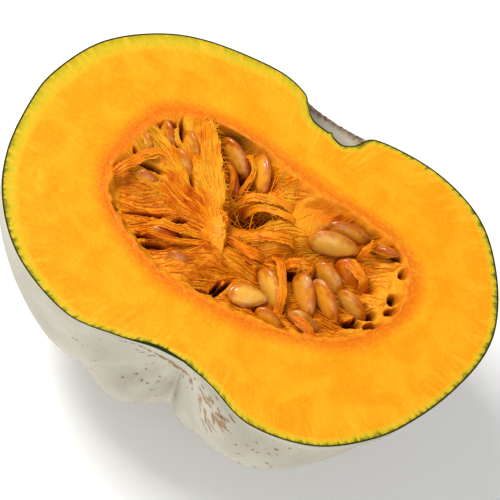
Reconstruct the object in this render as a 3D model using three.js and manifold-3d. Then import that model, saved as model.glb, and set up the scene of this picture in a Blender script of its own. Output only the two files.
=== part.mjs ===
// Half of a grey-skinned pumpkin, cut through its stem axis and lying on its skin with the cut face up.
// Pieces: the fruit wall (rind and flesh grown as one), the stringy pulp in its hollow, and the seeds.
// Millimetres, +Z up. +Y points to the stem end, +X along the long side of the cut.
import * as THREE from "three";
import { mergeVertices } from "three/addons/utils/BufferGeometryUtils.js";
import Module from "manifold-3d";

const wasm = await Module();
wasm.setup();

const at = (x, y) => new THREE.Vector2(x, y);
const onCut = (x, y) => new THREE.Vector3(x, y, 0);
const DEGREE = Math.PI / 180;

// Driving dimensions

// Meridians of the skin from stem socket to blossom end, as (distance from the axis, height along it).
// The fruit is lopsided: the left half of the cut is wider than the right.
const LEFT_MERIDIAN = new THREE.SplineCurve([
  at(0, 59.5), at(9, 60.5), at(14, 65), at(18.5, 69.5), at(33, 71.5), at(61, 65.5), at(80.5, 55),
  at(97, 37), at(105, 14), at(105.5, -4), at(101, -28), at(90, -48), at(72, -63.5), at(47, -71.5),
  at(27, -68), at(12, -63.5), at(0, -62),
]);
const RIGHT_MERIDIAN = new THREE.SplineCurve([
  at(0, 59.5), at(6, 58), at(11, 61.5), at(17, 69), at(40, 72), at(60, 68.5), at(75, 60), at(88, 44),
  at(96, 27), at(98, 12), at(95, -6), at(88, -26), at(77, -45), at(58, -62), at(33, -69), at(13, -64),
  at(0, -62),
]);

// Ribs: swells (positive) and grooves (negative) that run from end to end of the skin.
// turn is the angle round the axis, in degrees from straight down, negative to the left.
const RIBS = [
  { turn: -62, height: -2.0, spread: 20 },
  { turn: -31, height: -5.5, spread: 10 },
  { turn: 3, height: -13.0, spread: 12 },
  { turn: 21, height: -5.0, spread: 10 },
  { turn: 51, height: 4.5, spread: 11 },
  { turn: 76, height: -6.0, spread: 11 },
];
const RIB_AT_EQUATOR = 0.22; // how much of a rib is left at the fruit's widest ring
const RIB_AT_STEM = 0.45; // how much of a rib is left on the shoulder by the stem
const RIB_FADE = 16; // degrees below the cut face over which the ribs die out
const RIB_ENDS = { stemFrom: 0.1, stemFull: 0.26, blossomFull: 0.14 }; // where ribs begin and end
const SHOULDER_LIFT = 9; // the shoulder under the stem socket stands this much prouder than at the cut
const SHOULDER = { share: 0.11, spread: 0.07, sharpness: 1.2 }; // where that lift is

const REST_DEPTH = 98.5; // from the cut face down to the flat spots that the half lies on
const SKIN_STEPS_ROUND = 64;
const SKIN_STEPS_ALONG = 36;
const SPACE = 400; // wider than the fruit

// The seed hollow: its edge on the cut face, and how deep it goes.
const HOLLOW_EDGE = new THREE.CatmullRomCurve3([
  onCut(60, 5), onCut(57, 23), onCut(48, 32), onCut(30, 35), onCut(5, 34), onCut(-20, 37), onCut(-42, 35),
  onCut(-59, 27), onCut(-65, 10), onCut(-65, -10), onCut(-56, -23), onCut(-33, -34), onCut(-9, -35),
  onCut(20, -30), onCut(46, -18),
], true);
const HOLLOW_MIDDLE = at(-3, 1);
const HOLLOW_DEPTH = 50;
const HOLLOW_FULLNESS = 0.85; // below 1 the hollow is fuller than a ball
const HOLLOW_OVERSHOOT = 12; // how far the cutting shape stands above the cut face
const HOLLOW_CAP = 0.95; // the share of that height above which the shape closes to a point
const HOLLOW_STEPS_ROUND = 44;
const HOLLOW_STEPS_DOWN = 16;
const FIT_GAP = 0.45; // clearance between touching pieces
const FINEST = 0.1; // bumps of the pulp smaller than this are smoothed away

// The fibres of the pulp meet here, on the placenta that ran up the middle of the fruit.
const HEART = at(-5, -14);
const PULP_LEVEL = -4; // its usual height against the cut face
const PULP_EDGE_LEVEL = -0.9; // its height where it meets the flesh
const PULP_FLOOR = -60;
const PULP_RAYS = 84;
const PULP_RINGS = 12;
const PULP_TUCK = 1.06; // the block reaches this share of the way to the edge, to be trimmed there
const PULP_EDGE = { from: 0.84, to: 0.98 }; // where the surface rises to meet the flesh, as shares
const LUMPS = { height: 0.9, alongX: 0.42, startX: 1, alongY: 0.5 };
const RIDGE_HEIGHT = 0.55; // the fibres stand up this much over the furrows between them
const RIDGES = { from: 0.08, full: 0.3, fade: 0.9, seed: 41 };

// Dips and mounds of the pulp, each a bell with its own reach along and across.
const PULP_DIPS = [
  { x: -14, y: 22, along: 15, across: 11, height: -15 },
  { x: -9, y: 4, along: 8, across: 5, height: -5 },
  { x: 26, y: 2, along: 25, across: 17, height: -7 },
  { x: 9, y: 19, along: 9, across: 7, height: 3 },
  { x: -34, y: -20, along: 7, across: 4, height: -7 },
  { x: -20, y: -17, along: 9, across: 8, height: 3 },
  { x: -12, y: -28, along: 8, across: 5, height: 2 },
];

// The fan: the sheet of fibres left of the heart, torn off along one edge.
const FAN_TORN_AT = 118; // degrees round the heart
const FAN_END_AT = 215;
const FAN_LEVEL = -2.2;
const FAN_LIP = 2.4; // how far the torn edge curls up
const LIP_WIDTH = 5; // degrees
const LIP_INSIDE = 3; // degrees from the tear to the lip's crest
const FAN_HEART = { from: 8, full: 18 }; // the fan grows out of the heart between these distances
const TEAR = { before: 4, after: 2 }; // degrees over which the torn edge steps up
const FAN_FADE = { before: 14, after: 10 }; // degrees over which the fan's other side dies out

// Loose strands that run outward over the pulp, half sunk in it.
const STRANDS = 30;
const STRAND_RADIUS = 0.75;
const STRAND_STEPS = 5;
const STRAND_LIFT = 0.25; // how far a strand's middle lies above the pulp
const STRAND_START = { least: 0.05, spread: 0.4 }; // as shares of the way out
const STRAND_REACH = { least: 0.25, spread: 0.25 };
const STRAND_BEND = 0.02;
const STRAND_THICKNESS = { least: 0.7, spread: 0.6 };
const STRAND_POINTS = [0, 0.33, 0.67, 1];
const STRAND_SEED = 17;

// Strands that hang across the pocket, from side to side.
const WEBS = [
  { from: [-27, 15, -3], mid: [-13, 16, -7], to: [4, 21, -4] },
  { from: [-22, 9, -3], mid: [-12, 12, -7], to: [0, 15, -4] },
  { from: [-31, 22, -3], mid: [-20, 19, -9], to: [-6, 10, -9] },
  { from: [-17, 5, -3], mid: [-9, 14, -8], to: [6, 25, -5] },
  { from: [9, 8, -4], mid: [16, -2, -5], to: [14, -18, -8] },
  { from: [3, 3, -5], mid: [12, -4, -6], to: [24, -16, -9] },
];
const WEB_RADIUS = 1.1;

// Sockets in the spongy right wall that have lost their seeds.
const EMPTY_SOCKETS = [
  { x: 53, y: 9, z: -2, turn: 80 },
  { x: 54, y: 1, z: -2, turn: 60 },
  { x: 49, y: -7, z: -2, turn: 35 },
  { x: 42, y: -14, z: -3, turn: 30 },
  { x: 52, y: 19, z: -2, turn: 110 },
  { x: 46, y: 26, z: -3, turn: 140 },
];
const SOCKET_LENGTH = 7;
const SOCKET_WIDTH = 3.6;
const SOCKET_DEPTH = 14;
const SOCKET_STEPS_ROUND = 10;
const SOCKET_STEPS_DOWN = 8;

// Seeds: where each one's middle is, its heading, how far its tip dips, how far it is rolled on edge.
const SEED_LENGTH = 22;
const SEED_WIDTH = 12;
const SEED_THICKNESS = 5.6;
const SEED_STEPS_ROUND = 10;
const SEED_STEPS_ALONG = 7;
const SEED_TAPER = { even: 0.26, tip: 0.12 }; // how much narrower the seed gets towards its tip
const SEEDS = [
  { x: 25, y: 19, z: -4, heading: 22, dip: 4, roll: 68, size: 1.0 },
  { x: 27, y: 27, z: -5, heading: 22, dip: 2, roll: 70, size: 0.92 },
  { x: 42.5, y: 28.5, z: -3, heading: 184, dip: 20, roll: 65, size: 0.62 },
  { x: 14, y: -12, z: -8, heading: -31, dip: 14, roll: 72, size: 0.9 },
  { x: 7, y: -21, z: -5, heading: 27, dip: 4, roll: 22, size: 0.75 },
  { x: 19.5, y: -23.5, z: -8, heading: -5, dip: 16, roll: 60, size: 0.66 },
  { x: 26, y: -6, z: -8, heading: -43, dip: 16, roll: 62, size: 0.9 },
  { x: 34, y: -3, z: -7, heading: -29, dip: 14, roll: 75, size: 0.88 },
  { x: 31, y: 7, z: -9, heading: -12, dip: 20, roll: 60, size: 0.82 },
  { x: 44, y: 2, z: -7, heading: -6, dip: 30, roll: 82, size: 0.78 },
  { x: 38, y: 14, z: -9, heading: -10, dip: 20, roll: 60, size: 0.8 },
  { x: 31, y: -15.5, z: -8, heading: 10, dip: 24, roll: 75, size: 0.7 },
  { x: -27, y: 30, z: -8, heading: -20, dip: 14, roll: 70, size: 0.88 },
  { x: -23.5, y: 21.5, z: -12, heading: -38, dip: 18, roll: 70, size: 0.8 },
  { x: -14.5, y: 29, z: -6, heading: -53, dip: 12, roll: 58, size: 0.8 },
  { x: -57.5, y: 8.5, z: -4.5, heading: -42, dip: 36, roll: 80, size: 0.75 },
  { x: -53, y: 18, z: -6, heading: -43, dip: 34, roll: 78, size: 0.85 },
  { x: -42.5, y: 20, z: -5, heading: -36, dip: 34, roll: 80, size: 0.8 },
  { x: -41.5, y: 11.5, z: -5, heading: -25, dip: 34, roll: 76, size: 0.8 },
  { x: -49, y: -2, z: -6, heading: 6, dip: 30, roll: 75, size: 0.75 },
  { x: -33, y: -18, z: -7, heading: 20, dip: 12, roll: 70, size: 0.7 },
  { x: -21, y: -24, z: -6, heading: 7, dip: 28, roll: 70, size: 0.7 },
];

// Looks
const FLESH = { color: 0xf7a51b, roughness: 0.5, metalness: 0 };
const PULP = { color: 0xe8780f, roughness: 0.45, metalness: 0 };
const SEED = { color: 0xe3b565, roughness: 0.3, metalness: 0 };

// Shared helpers

const { clamp, lerp, smoothstep } = THREE.MathUtils;
const WELD = 1e-5; // corners closer than this are one
const ON_CUT = 1e-6; // corners closer than this to the cut face lie on it
const TINY = 1e-9; // angles closer than this to zero are zero
const DICE_FACTOR = 16807;
const DICE_MODULUS = 2147483647;

// One repeatable run of numbers from 0 to 1.
function dice(seed) {
  let state = seed;
  return () => {
    state = (state * DICE_FACTOR) % DICE_MODULUS;
    return state / DICE_MODULUS;
  };
}

// A value drawn evenly from a range.
function drawn(range, roll) {
  return range.least + range.spread * roll();
}

// A bell curve, 1 in its middle.
function bell(distance, spread) {
  return Math.exp(-((distance / spread) ** 2));
}

// A geometry without seams, so that every corner is stored once.
function welded(geometry) {
  const bare = geometry.clone();
  bare.deleteAttribute("normal");
  bare.deleteAttribute("uv");
  return mergeVertices(bare, WELD);
}

// Moves every corner of a geometry by a rule that changes the point it is given.
function reshaped(geometry, rule) {
  const corners = geometry.attributes.position;
  const point = new THREE.Vector3();
  for (let i = 0; i < corners.count; i += 1) {
    point.fromBufferAttribute(corners, i);
    rule(point);
    corners.setXYZ(i, point.x, point.y, point.z);
  }
  return geometry;
}

// Corners and the triangles between them as a solid that can be cut and joined.
function solidFrom(corners, triangles) {
  const mesh = new wasm.Mesh({
    numProp: 3,
    vertProperties: new Float32Array(corners),
    triVerts: new Uint32Array(triangles),
  });
  return new wasm.Manifold(mesh);
}

// A welded geometry as a solid.
function solid(geometry) {
  return solidFrom(geometry.attributes.position.array, geometry.index.array);
}

// A solid as a named mesh with its own material.
function named(name, body, look) {
  const mesh = body.getMesh();
  const geometry = new THREE.BufferGeometry();
  geometry.setAttribute("position", new THREE.BufferAttribute(new Float32Array(mesh.vertProperties), 3));
  geometry.setIndex(new THREE.BufferAttribute(new Uint32Array(mesh.triVerts), 1));
  geometry.computeVertexNormals();
  const part = new THREE.Mesh(geometry, new THREE.MeshStandardMaterial(look));
  part.name = name;
  return part;
}

// A ball with its poles up and down, for shapes drawn round a vertical line.
function uprightBall(stepsRound, stepsDown) {
  return welded(new THREE.SphereGeometry(1, stepsRound, stepsDown)).rotateX(Math.PI / 2);
}

// How far round a point lies, from 0 to 1, starting at +X and turning towards +Y.
function shareRound(x, y) {
  const share = Math.atan2(y, x) / (2 * Math.PI);
  return share < -TINY ? share + 1 : Math.max(share, 0);
}

// Fruit wall

// How far the skin stands out at one place, share running from the stem (0) to the blossom end (1).
function ribHeight(turn, share) {
  const degrees = turn / DEGREE;
  const most = share < 0.5 ? RIB_AT_STEM : 1;
  const ends = RIB_AT_EQUATOR + (most - RIB_AT_EQUATOR) * Math.cos(Math.PI * share) ** 2;
  const atStem = smoothstep(share, RIB_ENDS.stemFrom, RIB_ENDS.stemFull);
  const atBlossom = smoothstep(1 - share, 0, RIB_ENDS.blossomFull);
  const cut = smoothstep(90 - Math.abs(degrees), 0, RIB_FADE);
  let height = 0;
  for (const rib of RIBS) {
    height += rib.height * bell(degrees - rib.turn, rib.spread);
  }
  return height * ends * atStem * atBlossom * cut;
}

// How far the shoulder round the stem socket is lifted towards the stem.
function shoulderLift(turn, share) {
  const ring = bell(share - SHOULDER.share, SHOULDER.spread);
  return SHOULDER_LIFT * ring * Math.max(0, Math.cos(turn)) ** SHOULDER.sharpness;
}

// Takes a point of a ball with its poles along Y to the skin of the whole fruit.
function toSkin(point) {
  const share = Math.acos(clamp(point.y, -1, 1)) / Math.PI;
  const turn = Math.atan2(point.x, -point.z);
  const right = (1 + Math.sin(turn)) / 2;
  const spot = LEFT_MERIDIAN.getPointAt(share).lerp(RIGHT_MERIDIAN.getPointAt(share), right);
  const run = LEFT_MERIDIAN.getTangentAt(share).lerp(RIGHT_MERIDIAN.getTangentAt(share), right);
  run.normalize();
  const swell = ribHeight(turn, share);
  const reach = Math.max(0, spot.x - run.y * swell);
  const along = spot.y + run.x * swell + shoulderLift(turn, share);
  point.set(reach * Math.sin(turn), along, -reach * Math.cos(turn));
  point.z = Math.abs(point.z) < ON_CUT ? 0 : point.z;
}

// The hollow, or the filling that fits in it with a gap all round.
function hollowSolid(gap) {
  return solid(reshaped(uprightBall(HOLLOW_STEPS_ROUND, HOLLOW_STEPS_DOWN), (point) => {
    const edge = HOLLOW_EDGE.getPointAt(shareRound(point.x, point.y));
    const out = at(edge.x - HOLLOW_MIDDLE.x, edge.y - HOLLOW_MIDDLE.y);
    const width = point.z > 0 ? 1 : Math.hypot(point.x, point.y) ** HOLLOW_FULLNESS;
    out.setLength((out.length() - gap) * (point.z > HOLLOW_CAP ? 0 : width));
    point.x = HOLLOW_MIDDLE.x + out.x;
    point.y = HOLLOW_MIDDLE.y + out.y;
    point.z *= point.z > 0 ? HOLLOW_OVERSHOOT : HOLLOW_DEPTH - gap;
  }));
}

// The lower half of space, from the cut face down to a level.
function below(level) {
  const slab = welded(new THREE.BoxGeometry(SPACE, SPACE, level));
  return solid(slab.translate(0, 0, -level / 2));
}

function fruitWall() {
  const ball = welded(new THREE.SphereGeometry(1, SKIN_STEPS_ROUND, SKIN_STEPS_ALONG));
  const fruit = solid(reshaped(ball, toSkin));
  return fruit.intersect(below(REST_DEPTH)).subtract(hollowSolid(0));
}

// Seeds

// A flat drop with its tip towards +X, larger than a seed by the given gap all round.
function seedSolid(seed, gap) {
  const half = at(SEED_LENGTH, SEED_WIDTH).multiplyScalar(seed.size / 2).addScalar(gap);
  const thin = (SEED_THICKNESS * Math.sqrt(seed.size)) / 2 + gap;
  const ball = welded(new THREE.SphereGeometry(1, SEED_STEPS_ROUND, SEED_STEPS_ALONG));
  const drop = reshaped(ball.rotateZ(-Math.PI / 2), (point) => {
    const narrowing = 1 - SEED_TAPER.even * point.x - SEED_TAPER.tip * Math.max(0, point.x) ** 3;
    point.set(point.x * half.x, point.y * half.y * narrowing, point.z * thin);
  });
  const facing = new THREE.Euler(seed.roll * DEGREE, seed.dip * DEGREE, seed.heading * DEGREE, "ZYX");
  drop.applyMatrix4(new THREE.Matrix4().makeRotationFromEuler(facing));
  return solid(drop.translate(seed.x, seed.y, seed.z));
}

// Pulp

// The height of the pulp at a place on the cut, without its fibres.
function pulpLevel(x, y) {
  const out = at(x - HEART.x, y - HEART.y);
  const round = shareRound(out.x, out.y) * 360;
  let level = PULP_LEVEL;
  for (const dip of PULP_DIPS) {
    level += dip.height * bell(x - dip.x, dip.along) * bell(y - dip.y, dip.across);
  }
  level += LUMPS.height * Math.sin(x * LUMPS.alongX + LUMPS.startX) * Math.cos(y * LUMPS.alongY);
  const torn = smoothstep(round, FAN_TORN_AT - TEAR.before, FAN_TORN_AT + TEAR.after);
  const end = 1 - smoothstep(round, FAN_END_AT - FAN_FADE.before, FAN_END_AT + FAN_FADE.after);
  const fan = torn * end * smoothstep(out.length(), FAN_HEART.from, FAN_HEART.full);
  const lip = FAN_LIP * bell(round - FAN_TORN_AT - LIP_INSIDE, LIP_WIDTH);
  return lerp(level, FAN_LEVEL + lip, fan);
}

// The height at one share of the way from the heart to the edge of the hollow.
function pulpHeight(x, y, share) {
  const edge = smoothstep(share, PULP_EDGE.from, PULP_EDGE.to);
  return lerp(pulpLevel(x, y), PULP_EDGE_LEVEL, edge);
}

// A place on the pulp: round is how far round the hollow, share how far out from the heart.
function onPulp(round, share) {
  const edge = HOLLOW_EDGE.getPointAt(((round % 1) + 1) % 1);
  const x = lerp(HEART.x, edge.x, share);
  const y = lerp(HEART.y, edge.y, share);
  return new THREE.Vector3(x, y, pulpHeight(x, y, share));
}

// A block under the pulp's surface, its top raised into fibres that run out from the heart.
function pulpBlock() {
  const roll = dice(RIDGES.seed);
  const ridges = Array.from({ length: PULP_RAYS }, (_, ray) => {
    const size = RIDGE_HEIGHT * (0.5 + roll());
    return ray % 2 === 0 ? size : -size;
  });
  const rows = PULP_RINGS + 2;
  return solid(reshaped(uprightBall(PULP_RAYS, rows), (point) => {
    const row = Math.round((Math.acos(clamp(point.z, -1, 1)) / Math.PI) * rows);
    const round = shareRound(point.x, point.y);
    const share = (PULP_TUCK * Math.min(row, PULP_RINGS)) / PULP_RINGS;
    const spot = onPulp(round, row === rows ? 0 : share);
    const ridge = ridges[Math.round(round * PULP_RAYS) % PULP_RAYS];
    const swell = smoothstep(share, RIDGES.from, RIDGES.full) * (1 - smoothstep(share, RIDGES.fade, 1));
    point.copy(spot);
    point.z = row > PULP_RINGS ? PULP_FLOOR : spot.z + ridge * swell;
  }));
}

// A thin strand along a list of points.
function strand(points, radius) {
  const path = new THREE.CatmullRomCurve3(points);
  const corners = [0, 120, 240].map((turn) => at(Math.cos(turn * DEGREE), Math.sin(turn * DEGREE)));
  const section = new THREE.Shape(corners.map((corner) => corner.multiplyScalar(radius)));
  const sweep = { steps: STRAND_STEPS, bevelEnabled: false, extrudePath: path };
  return solid(welded(new THREE.ExtrudeGeometry(section, sweep)));
}

function strandsOverPulp() {
  const roll = dice(STRAND_SEED);
  return Array.from({ length: STRANDS }, (_, count) => {
    const round = (count + roll()) / STRANDS;
    const start = drawn(STRAND_START, roll);
    const length = drawn(STRAND_REACH, roll);
    const bend = STRAND_BEND * (roll() - 0.5);
    const radius = STRAND_RADIUS * drawn(STRAND_THICKNESS, roll);
    const points = STRAND_POINTS.map((way) => {
      const spot = onPulp(round + bend * Math.sin(3 * way), start + length * way);
      spot.z += STRAND_LIFT;
      return spot;
    });
    return strand(points, radius);
  });
}

function websOverPocket() {
  return WEBS.map((web) => {
    const points = [web.from, web.mid, web.to].map((place) => new THREE.Vector3(...place));
    return strand(points, WEB_RADIUS);
  });
}

function emptySockets() {
  return EMPTY_SOCKETS.map((socket) => {
    const ball = uprightBall(SOCKET_STEPS_ROUND, SOCKET_STEPS_DOWN);
    ball.scale(SOCKET_LENGTH / 2, SOCKET_WIDTH / 2, SOCKET_DEPTH / 2);
    return solid(ball.rotateZ(socket.turn * DEGREE).translate(socket.x, socket.y, socket.z));
  });
}

// The one outer shell of a body: loose crumbs and closed pores are left out.
function outerShell(body) {
  const mesh = body.getMesh();
  const corners = mesh.vertProperties;
  const parent = Array.from({ length: corners.length / 3 }, (_, corner) => corner);
  const rootOf = (corner) => {
    let root = corner;
    while (parent[root] !== root) {
      root = parent[root];
    }
    parent[corner] = root;
    return root;
  };
  const shells = new Map();
  for (let i = 0; i < mesh.triVerts.length; i += 3) {
    parent[rootOf(mesh.triVerts[i + 1])] = rootOf(mesh.triVerts[i]);
    parent[rootOf(mesh.triVerts[i + 2])] = rootOf(mesh.triVerts[i]);
  }
  for (let i = 0; i < mesh.triVerts.length; i += 3) {
    const root = rootOf(mesh.triVerts[i]);
    shells.set(root, [...(shells.get(root) ?? []), ...mesh.triVerts.slice(i, i + 3)]);
  }
  const outer = [...shells.values()].reduce((best, shell) => (shell.length > best.length ? shell : best));
  return solidFrom(corners, outer);
}

function pulpSolid() {
  const fibres = wasm.Manifold.union([pulpBlock(), ...strandsOverPulp(), ...websOverPocket()]);
  const seedRoom = SEEDS.map((seed) => seedSolid(seed, FIT_GAP));
  const room = wasm.Manifold.union([...seedRoom, ...emptySockets()]);
  return outerShell(fibres.intersect(hollowSolid(FIT_GAP)).subtract(room).simplify(FINEST));
}

// Assembly

const group = new THREE.Group();
group.add(named("fruit_wall", fruitWall(), FLESH));
group.add(named("pulp", pulpSolid(), PULP));
SEEDS.forEach((seed, index) => {
  const number = String(index + 1).padStart(2, "0");
  group.add(named(`seed_${number}`, seedSolid(seed, 0), SEED));
});

// The origin goes under the middle of the half, on the floor.
const box = new THREE.Box3().setFromObject(group);
const middle = box.getCenter(new THREE.Vector3());
for (const part of group.children) {
  part.geometry.translate(-middle.x, -middle.y, -box.min.z);
}

export default group;
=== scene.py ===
"""Half of a grey-skinned pumpkin, dressed for the camera: skin, cut flesh, stringy pulp and wet seeds."""
import logging
import math
import random
from bisect import bisect_left
from dataclasses import dataclass, field
from enum import Enum
from functools import lru_cache
from typing import Any, Callable, Sequence

import bmesh
import bpy
from mathutils import Matrix, Vector, kdtree, noise


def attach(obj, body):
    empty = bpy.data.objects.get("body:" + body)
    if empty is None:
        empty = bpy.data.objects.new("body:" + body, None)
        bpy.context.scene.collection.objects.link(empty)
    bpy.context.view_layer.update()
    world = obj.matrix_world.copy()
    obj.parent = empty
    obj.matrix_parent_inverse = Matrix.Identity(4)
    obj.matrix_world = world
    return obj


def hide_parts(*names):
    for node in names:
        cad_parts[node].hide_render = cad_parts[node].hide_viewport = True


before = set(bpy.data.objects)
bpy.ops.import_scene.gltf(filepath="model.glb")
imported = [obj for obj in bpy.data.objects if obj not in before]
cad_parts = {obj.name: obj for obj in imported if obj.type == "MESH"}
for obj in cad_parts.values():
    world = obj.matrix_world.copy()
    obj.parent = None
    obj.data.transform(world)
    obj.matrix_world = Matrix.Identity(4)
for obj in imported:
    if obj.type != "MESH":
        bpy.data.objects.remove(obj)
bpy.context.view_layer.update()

LOG = logging.getLogger("pumpkin")
MM = 0.001
BODY = "root"
SEED_SLOT = "seed"
PULP_SLOT = "pulp"
FLESH_SLOT = "flesh"

# How much brighter than its own colour a surface looks under the studio's light.
LAMP_GAIN = 1.3

# Where the fruit's axis crosses the cut face, in the row frame.
# All shapes below are drawn from there, in mm.
AXIS_ON_CUT = Vector((3.94, -3.81, 98.5))

Mesh = bmesh.types.BMesh
Piece = bpy.types.Object
Material = bpy.types.Material
Socket = bpy.types.NodeSocket
Layers = dict[str, Any]
Colour = tuple[float, float, float]
Point2 = tuple[float, float]
Point3 = tuple[float, float, float]
Fibre = tuple[list[Point3], float]


# Small shared tools


def placed(x: float, y: float, z: float) -> Vector:
    """Takes a point of the fruit, in mm, to the row frame, in metres."""
    return (Vector((x, y, z)) + AXIS_ON_CUT) * MM


def rise(value: float, start: float, end: float) -> float:
    """A smooth step from 0 at start to 1 at end."""
    way = min(1.0, max(0.0, (value - start) / (end - start)))
    return way * way * (3.0 - 2.0 * way)


def between(low: float, high: float, way: float) -> float:
    """The value that lies a given way from low to high."""
    return low + (high - low) * way


def grain(x: float, y: float, z: float) -> float:
    """Smooth noise from about -1 to 1."""
    return noise.noise(Vector((x, y, z)))


def hump(value: float, middle: float, reach: float) -> float:
    """A smooth bump of height 1 at its middle that falls to about a third at its reach."""
    return math.exp(-(((value - middle) / reach) ** 2))


@dataclass(frozen=True)
class Ripple:
    """Smooth noise over a plane: its height, the length of its waves and the layer it is read from."""

    height: float
    length: float
    layer: float

    def at(self, x: float, y: float) -> float:
        """Its height at a place."""
        return self.height * grain(x / self.length, y / self.length, self.layer)


def rippled(ripples: Sequence[Ripple], x: float, y: float) -> float:
    """The height of several ripples together."""
    return sum(ripple.at(x, y) for ripple in ripples)


# The slight unevenness of the cut face.
CUT_WAVES = (Ripple(0.16, 9, 2), Ripple(0.07, 2.6, 5))


def srgb(red: int, green: int, blue: int) -> Colour:
    """A colour as seen on a screen, as the linear values that a shader takes.

    Args:
        red: Red from 0 to 255.
        green: Green from 0 to 255.
        blue: Blue from 0 to 255.

    Returns:
        The three linear values.
    """

    def linear(level: int) -> float:
        """One channel made linear."""
        share = level / 255.0
        return share / 12.92 if share <= 0.04045 else ((share + 0.055) / 1.055) ** 2.4

    return linear(red), linear(green), linear(blue)


def seen(red: int, green: int, blue: int) -> Colour:
    """The colour that a surface needs to look as given under the studio's light."""
    return tuple(level / LAMP_GAIN for level in srgb(red, green, blue))


class Spline:
    """A smooth curve through flat points, measured by its own length."""

    STEPS = 24
    TANGENT_STEP = 0.004

    def __init__(self, points: Sequence[Point2], closed: bool = False) -> None:
        """Samples the curve.

        Args:
            points: The points that it passes through.
            closed: True if the last point leads back to the first.
        """
        knots = [Vector(point) for point in points]
        count = len(knots)
        spans = count if closed else count - 1
        self.samples: list[Vector] = []
        for span in range(spans):
            picks = [span - 1, span, span + 1, span + 2]
            if closed:
                around = [knots[pick % count] for pick in picks]
            else:
                around = [knots[min(count - 1, max(0, pick))] for pick in picks]
            for step in range(self.STEPS):
                self.samples.append(self._blend(around, step / self.STEPS))
        self.samples.append(knots[0] if closed else knots[-1])
        self.lengths = [0.0]
        for first, second in zip(self.samples, self.samples[1:]):
            self.lengths.append(self.lengths[-1] + (second - first).length)

    @staticmethod
    def _blend(around: Sequence[Vector], way: float) -> Vector:
        """A point between the middle two of four knots."""
        before, start, end, after = around
        slope_in = (end - before) * 0.5
        slope_out = (after - start) * 0.5
        square = way * way
        cube = square * way
        return (
            (2 * cube - 3 * square + 1) * start
            + (cube - 2 * square + way) * slope_in
            + (3 * square - 2 * cube) * end
            + (cube - square) * slope_out
        )

    def at(self, share: float) -> Vector:
        """The point at a share of the curve's length."""
        goal = min(1.0, max(0.0, share)) * self.lengths[-1]
        index = max(1, bisect_left(self.lengths, goal))
        index = min(index, len(self.lengths) - 1)
        span = self.lengths[index] - self.lengths[index - 1]
        way = (goal - self.lengths[index - 1]) / span if span > 0 else 0.0
        return self.samples[index - 1].lerp(self.samples[index], way)

    def tangent(self, share: float) -> Vector:
        """The direction of travel at a share of the curve's length."""
        step = self.TANGENT_STEP
        return (self.at(share + step) - self.at(share - step)).normalized()


def smooth_shaded(name: str, mesh: bpy.types.Mesh) -> Piece:
    """Makes a mesh a smooth-shaded object of the scene."""
    mesh.polygons.foreach_set("use_smooth", [True] * len(mesh.polygons))
    piece = bpy.data.objects.new(name, mesh)
    bpy.context.scene.collection.objects.link(piece)
    return piece


def finished(name: str, bm: Mesh, materials: Sequence[Material]) -> Piece:
    """Turns a bmesh into a smooth-shaded object of the scene.

    Args:
        name: The piece's name.
        bm: Its mesh, in metres in the row frame. It is freed.
        materials: Its materials, in slot order.

    Returns:
        The new object.
    """
    mesh = bpy.data.meshes.new(name)
    bm.to_mesh(mesh)
    bm.free()
    for material in materials:
        mesh.materials.append(material)
    return smooth_shaded(name, mesh)


def new_verts(made: Sequence[Any]) -> list[bmesh.types.BMVert]:
    """The points among what a bmesh operator made."""
    return [item for item in made if isinstance(item, bmesh.types.BMVert)]


def new_edges(made: Sequence[Any]) -> list[bmesh.types.BMEdge]:
    """The edges among what a bmesh operator made."""
    return [item for item in made if isinstance(item, bmesh.types.BMEdge)]


def settled(piece: Piece, slot: str, *nodes: str) -> None:
    """Makes a piece ride on the half, in the place of the CAD nodes it stands for.

    Args:
        piece: The new piece.
        slot: Not used.
        nodes: The CAD nodes that it replaces.
    """
    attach(piece, BODY)
    if nodes:
        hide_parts(*nodes)
    LOG.info("%s: %d faces", piece.name, len(piece.data.polygons))


# Finishes


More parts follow.
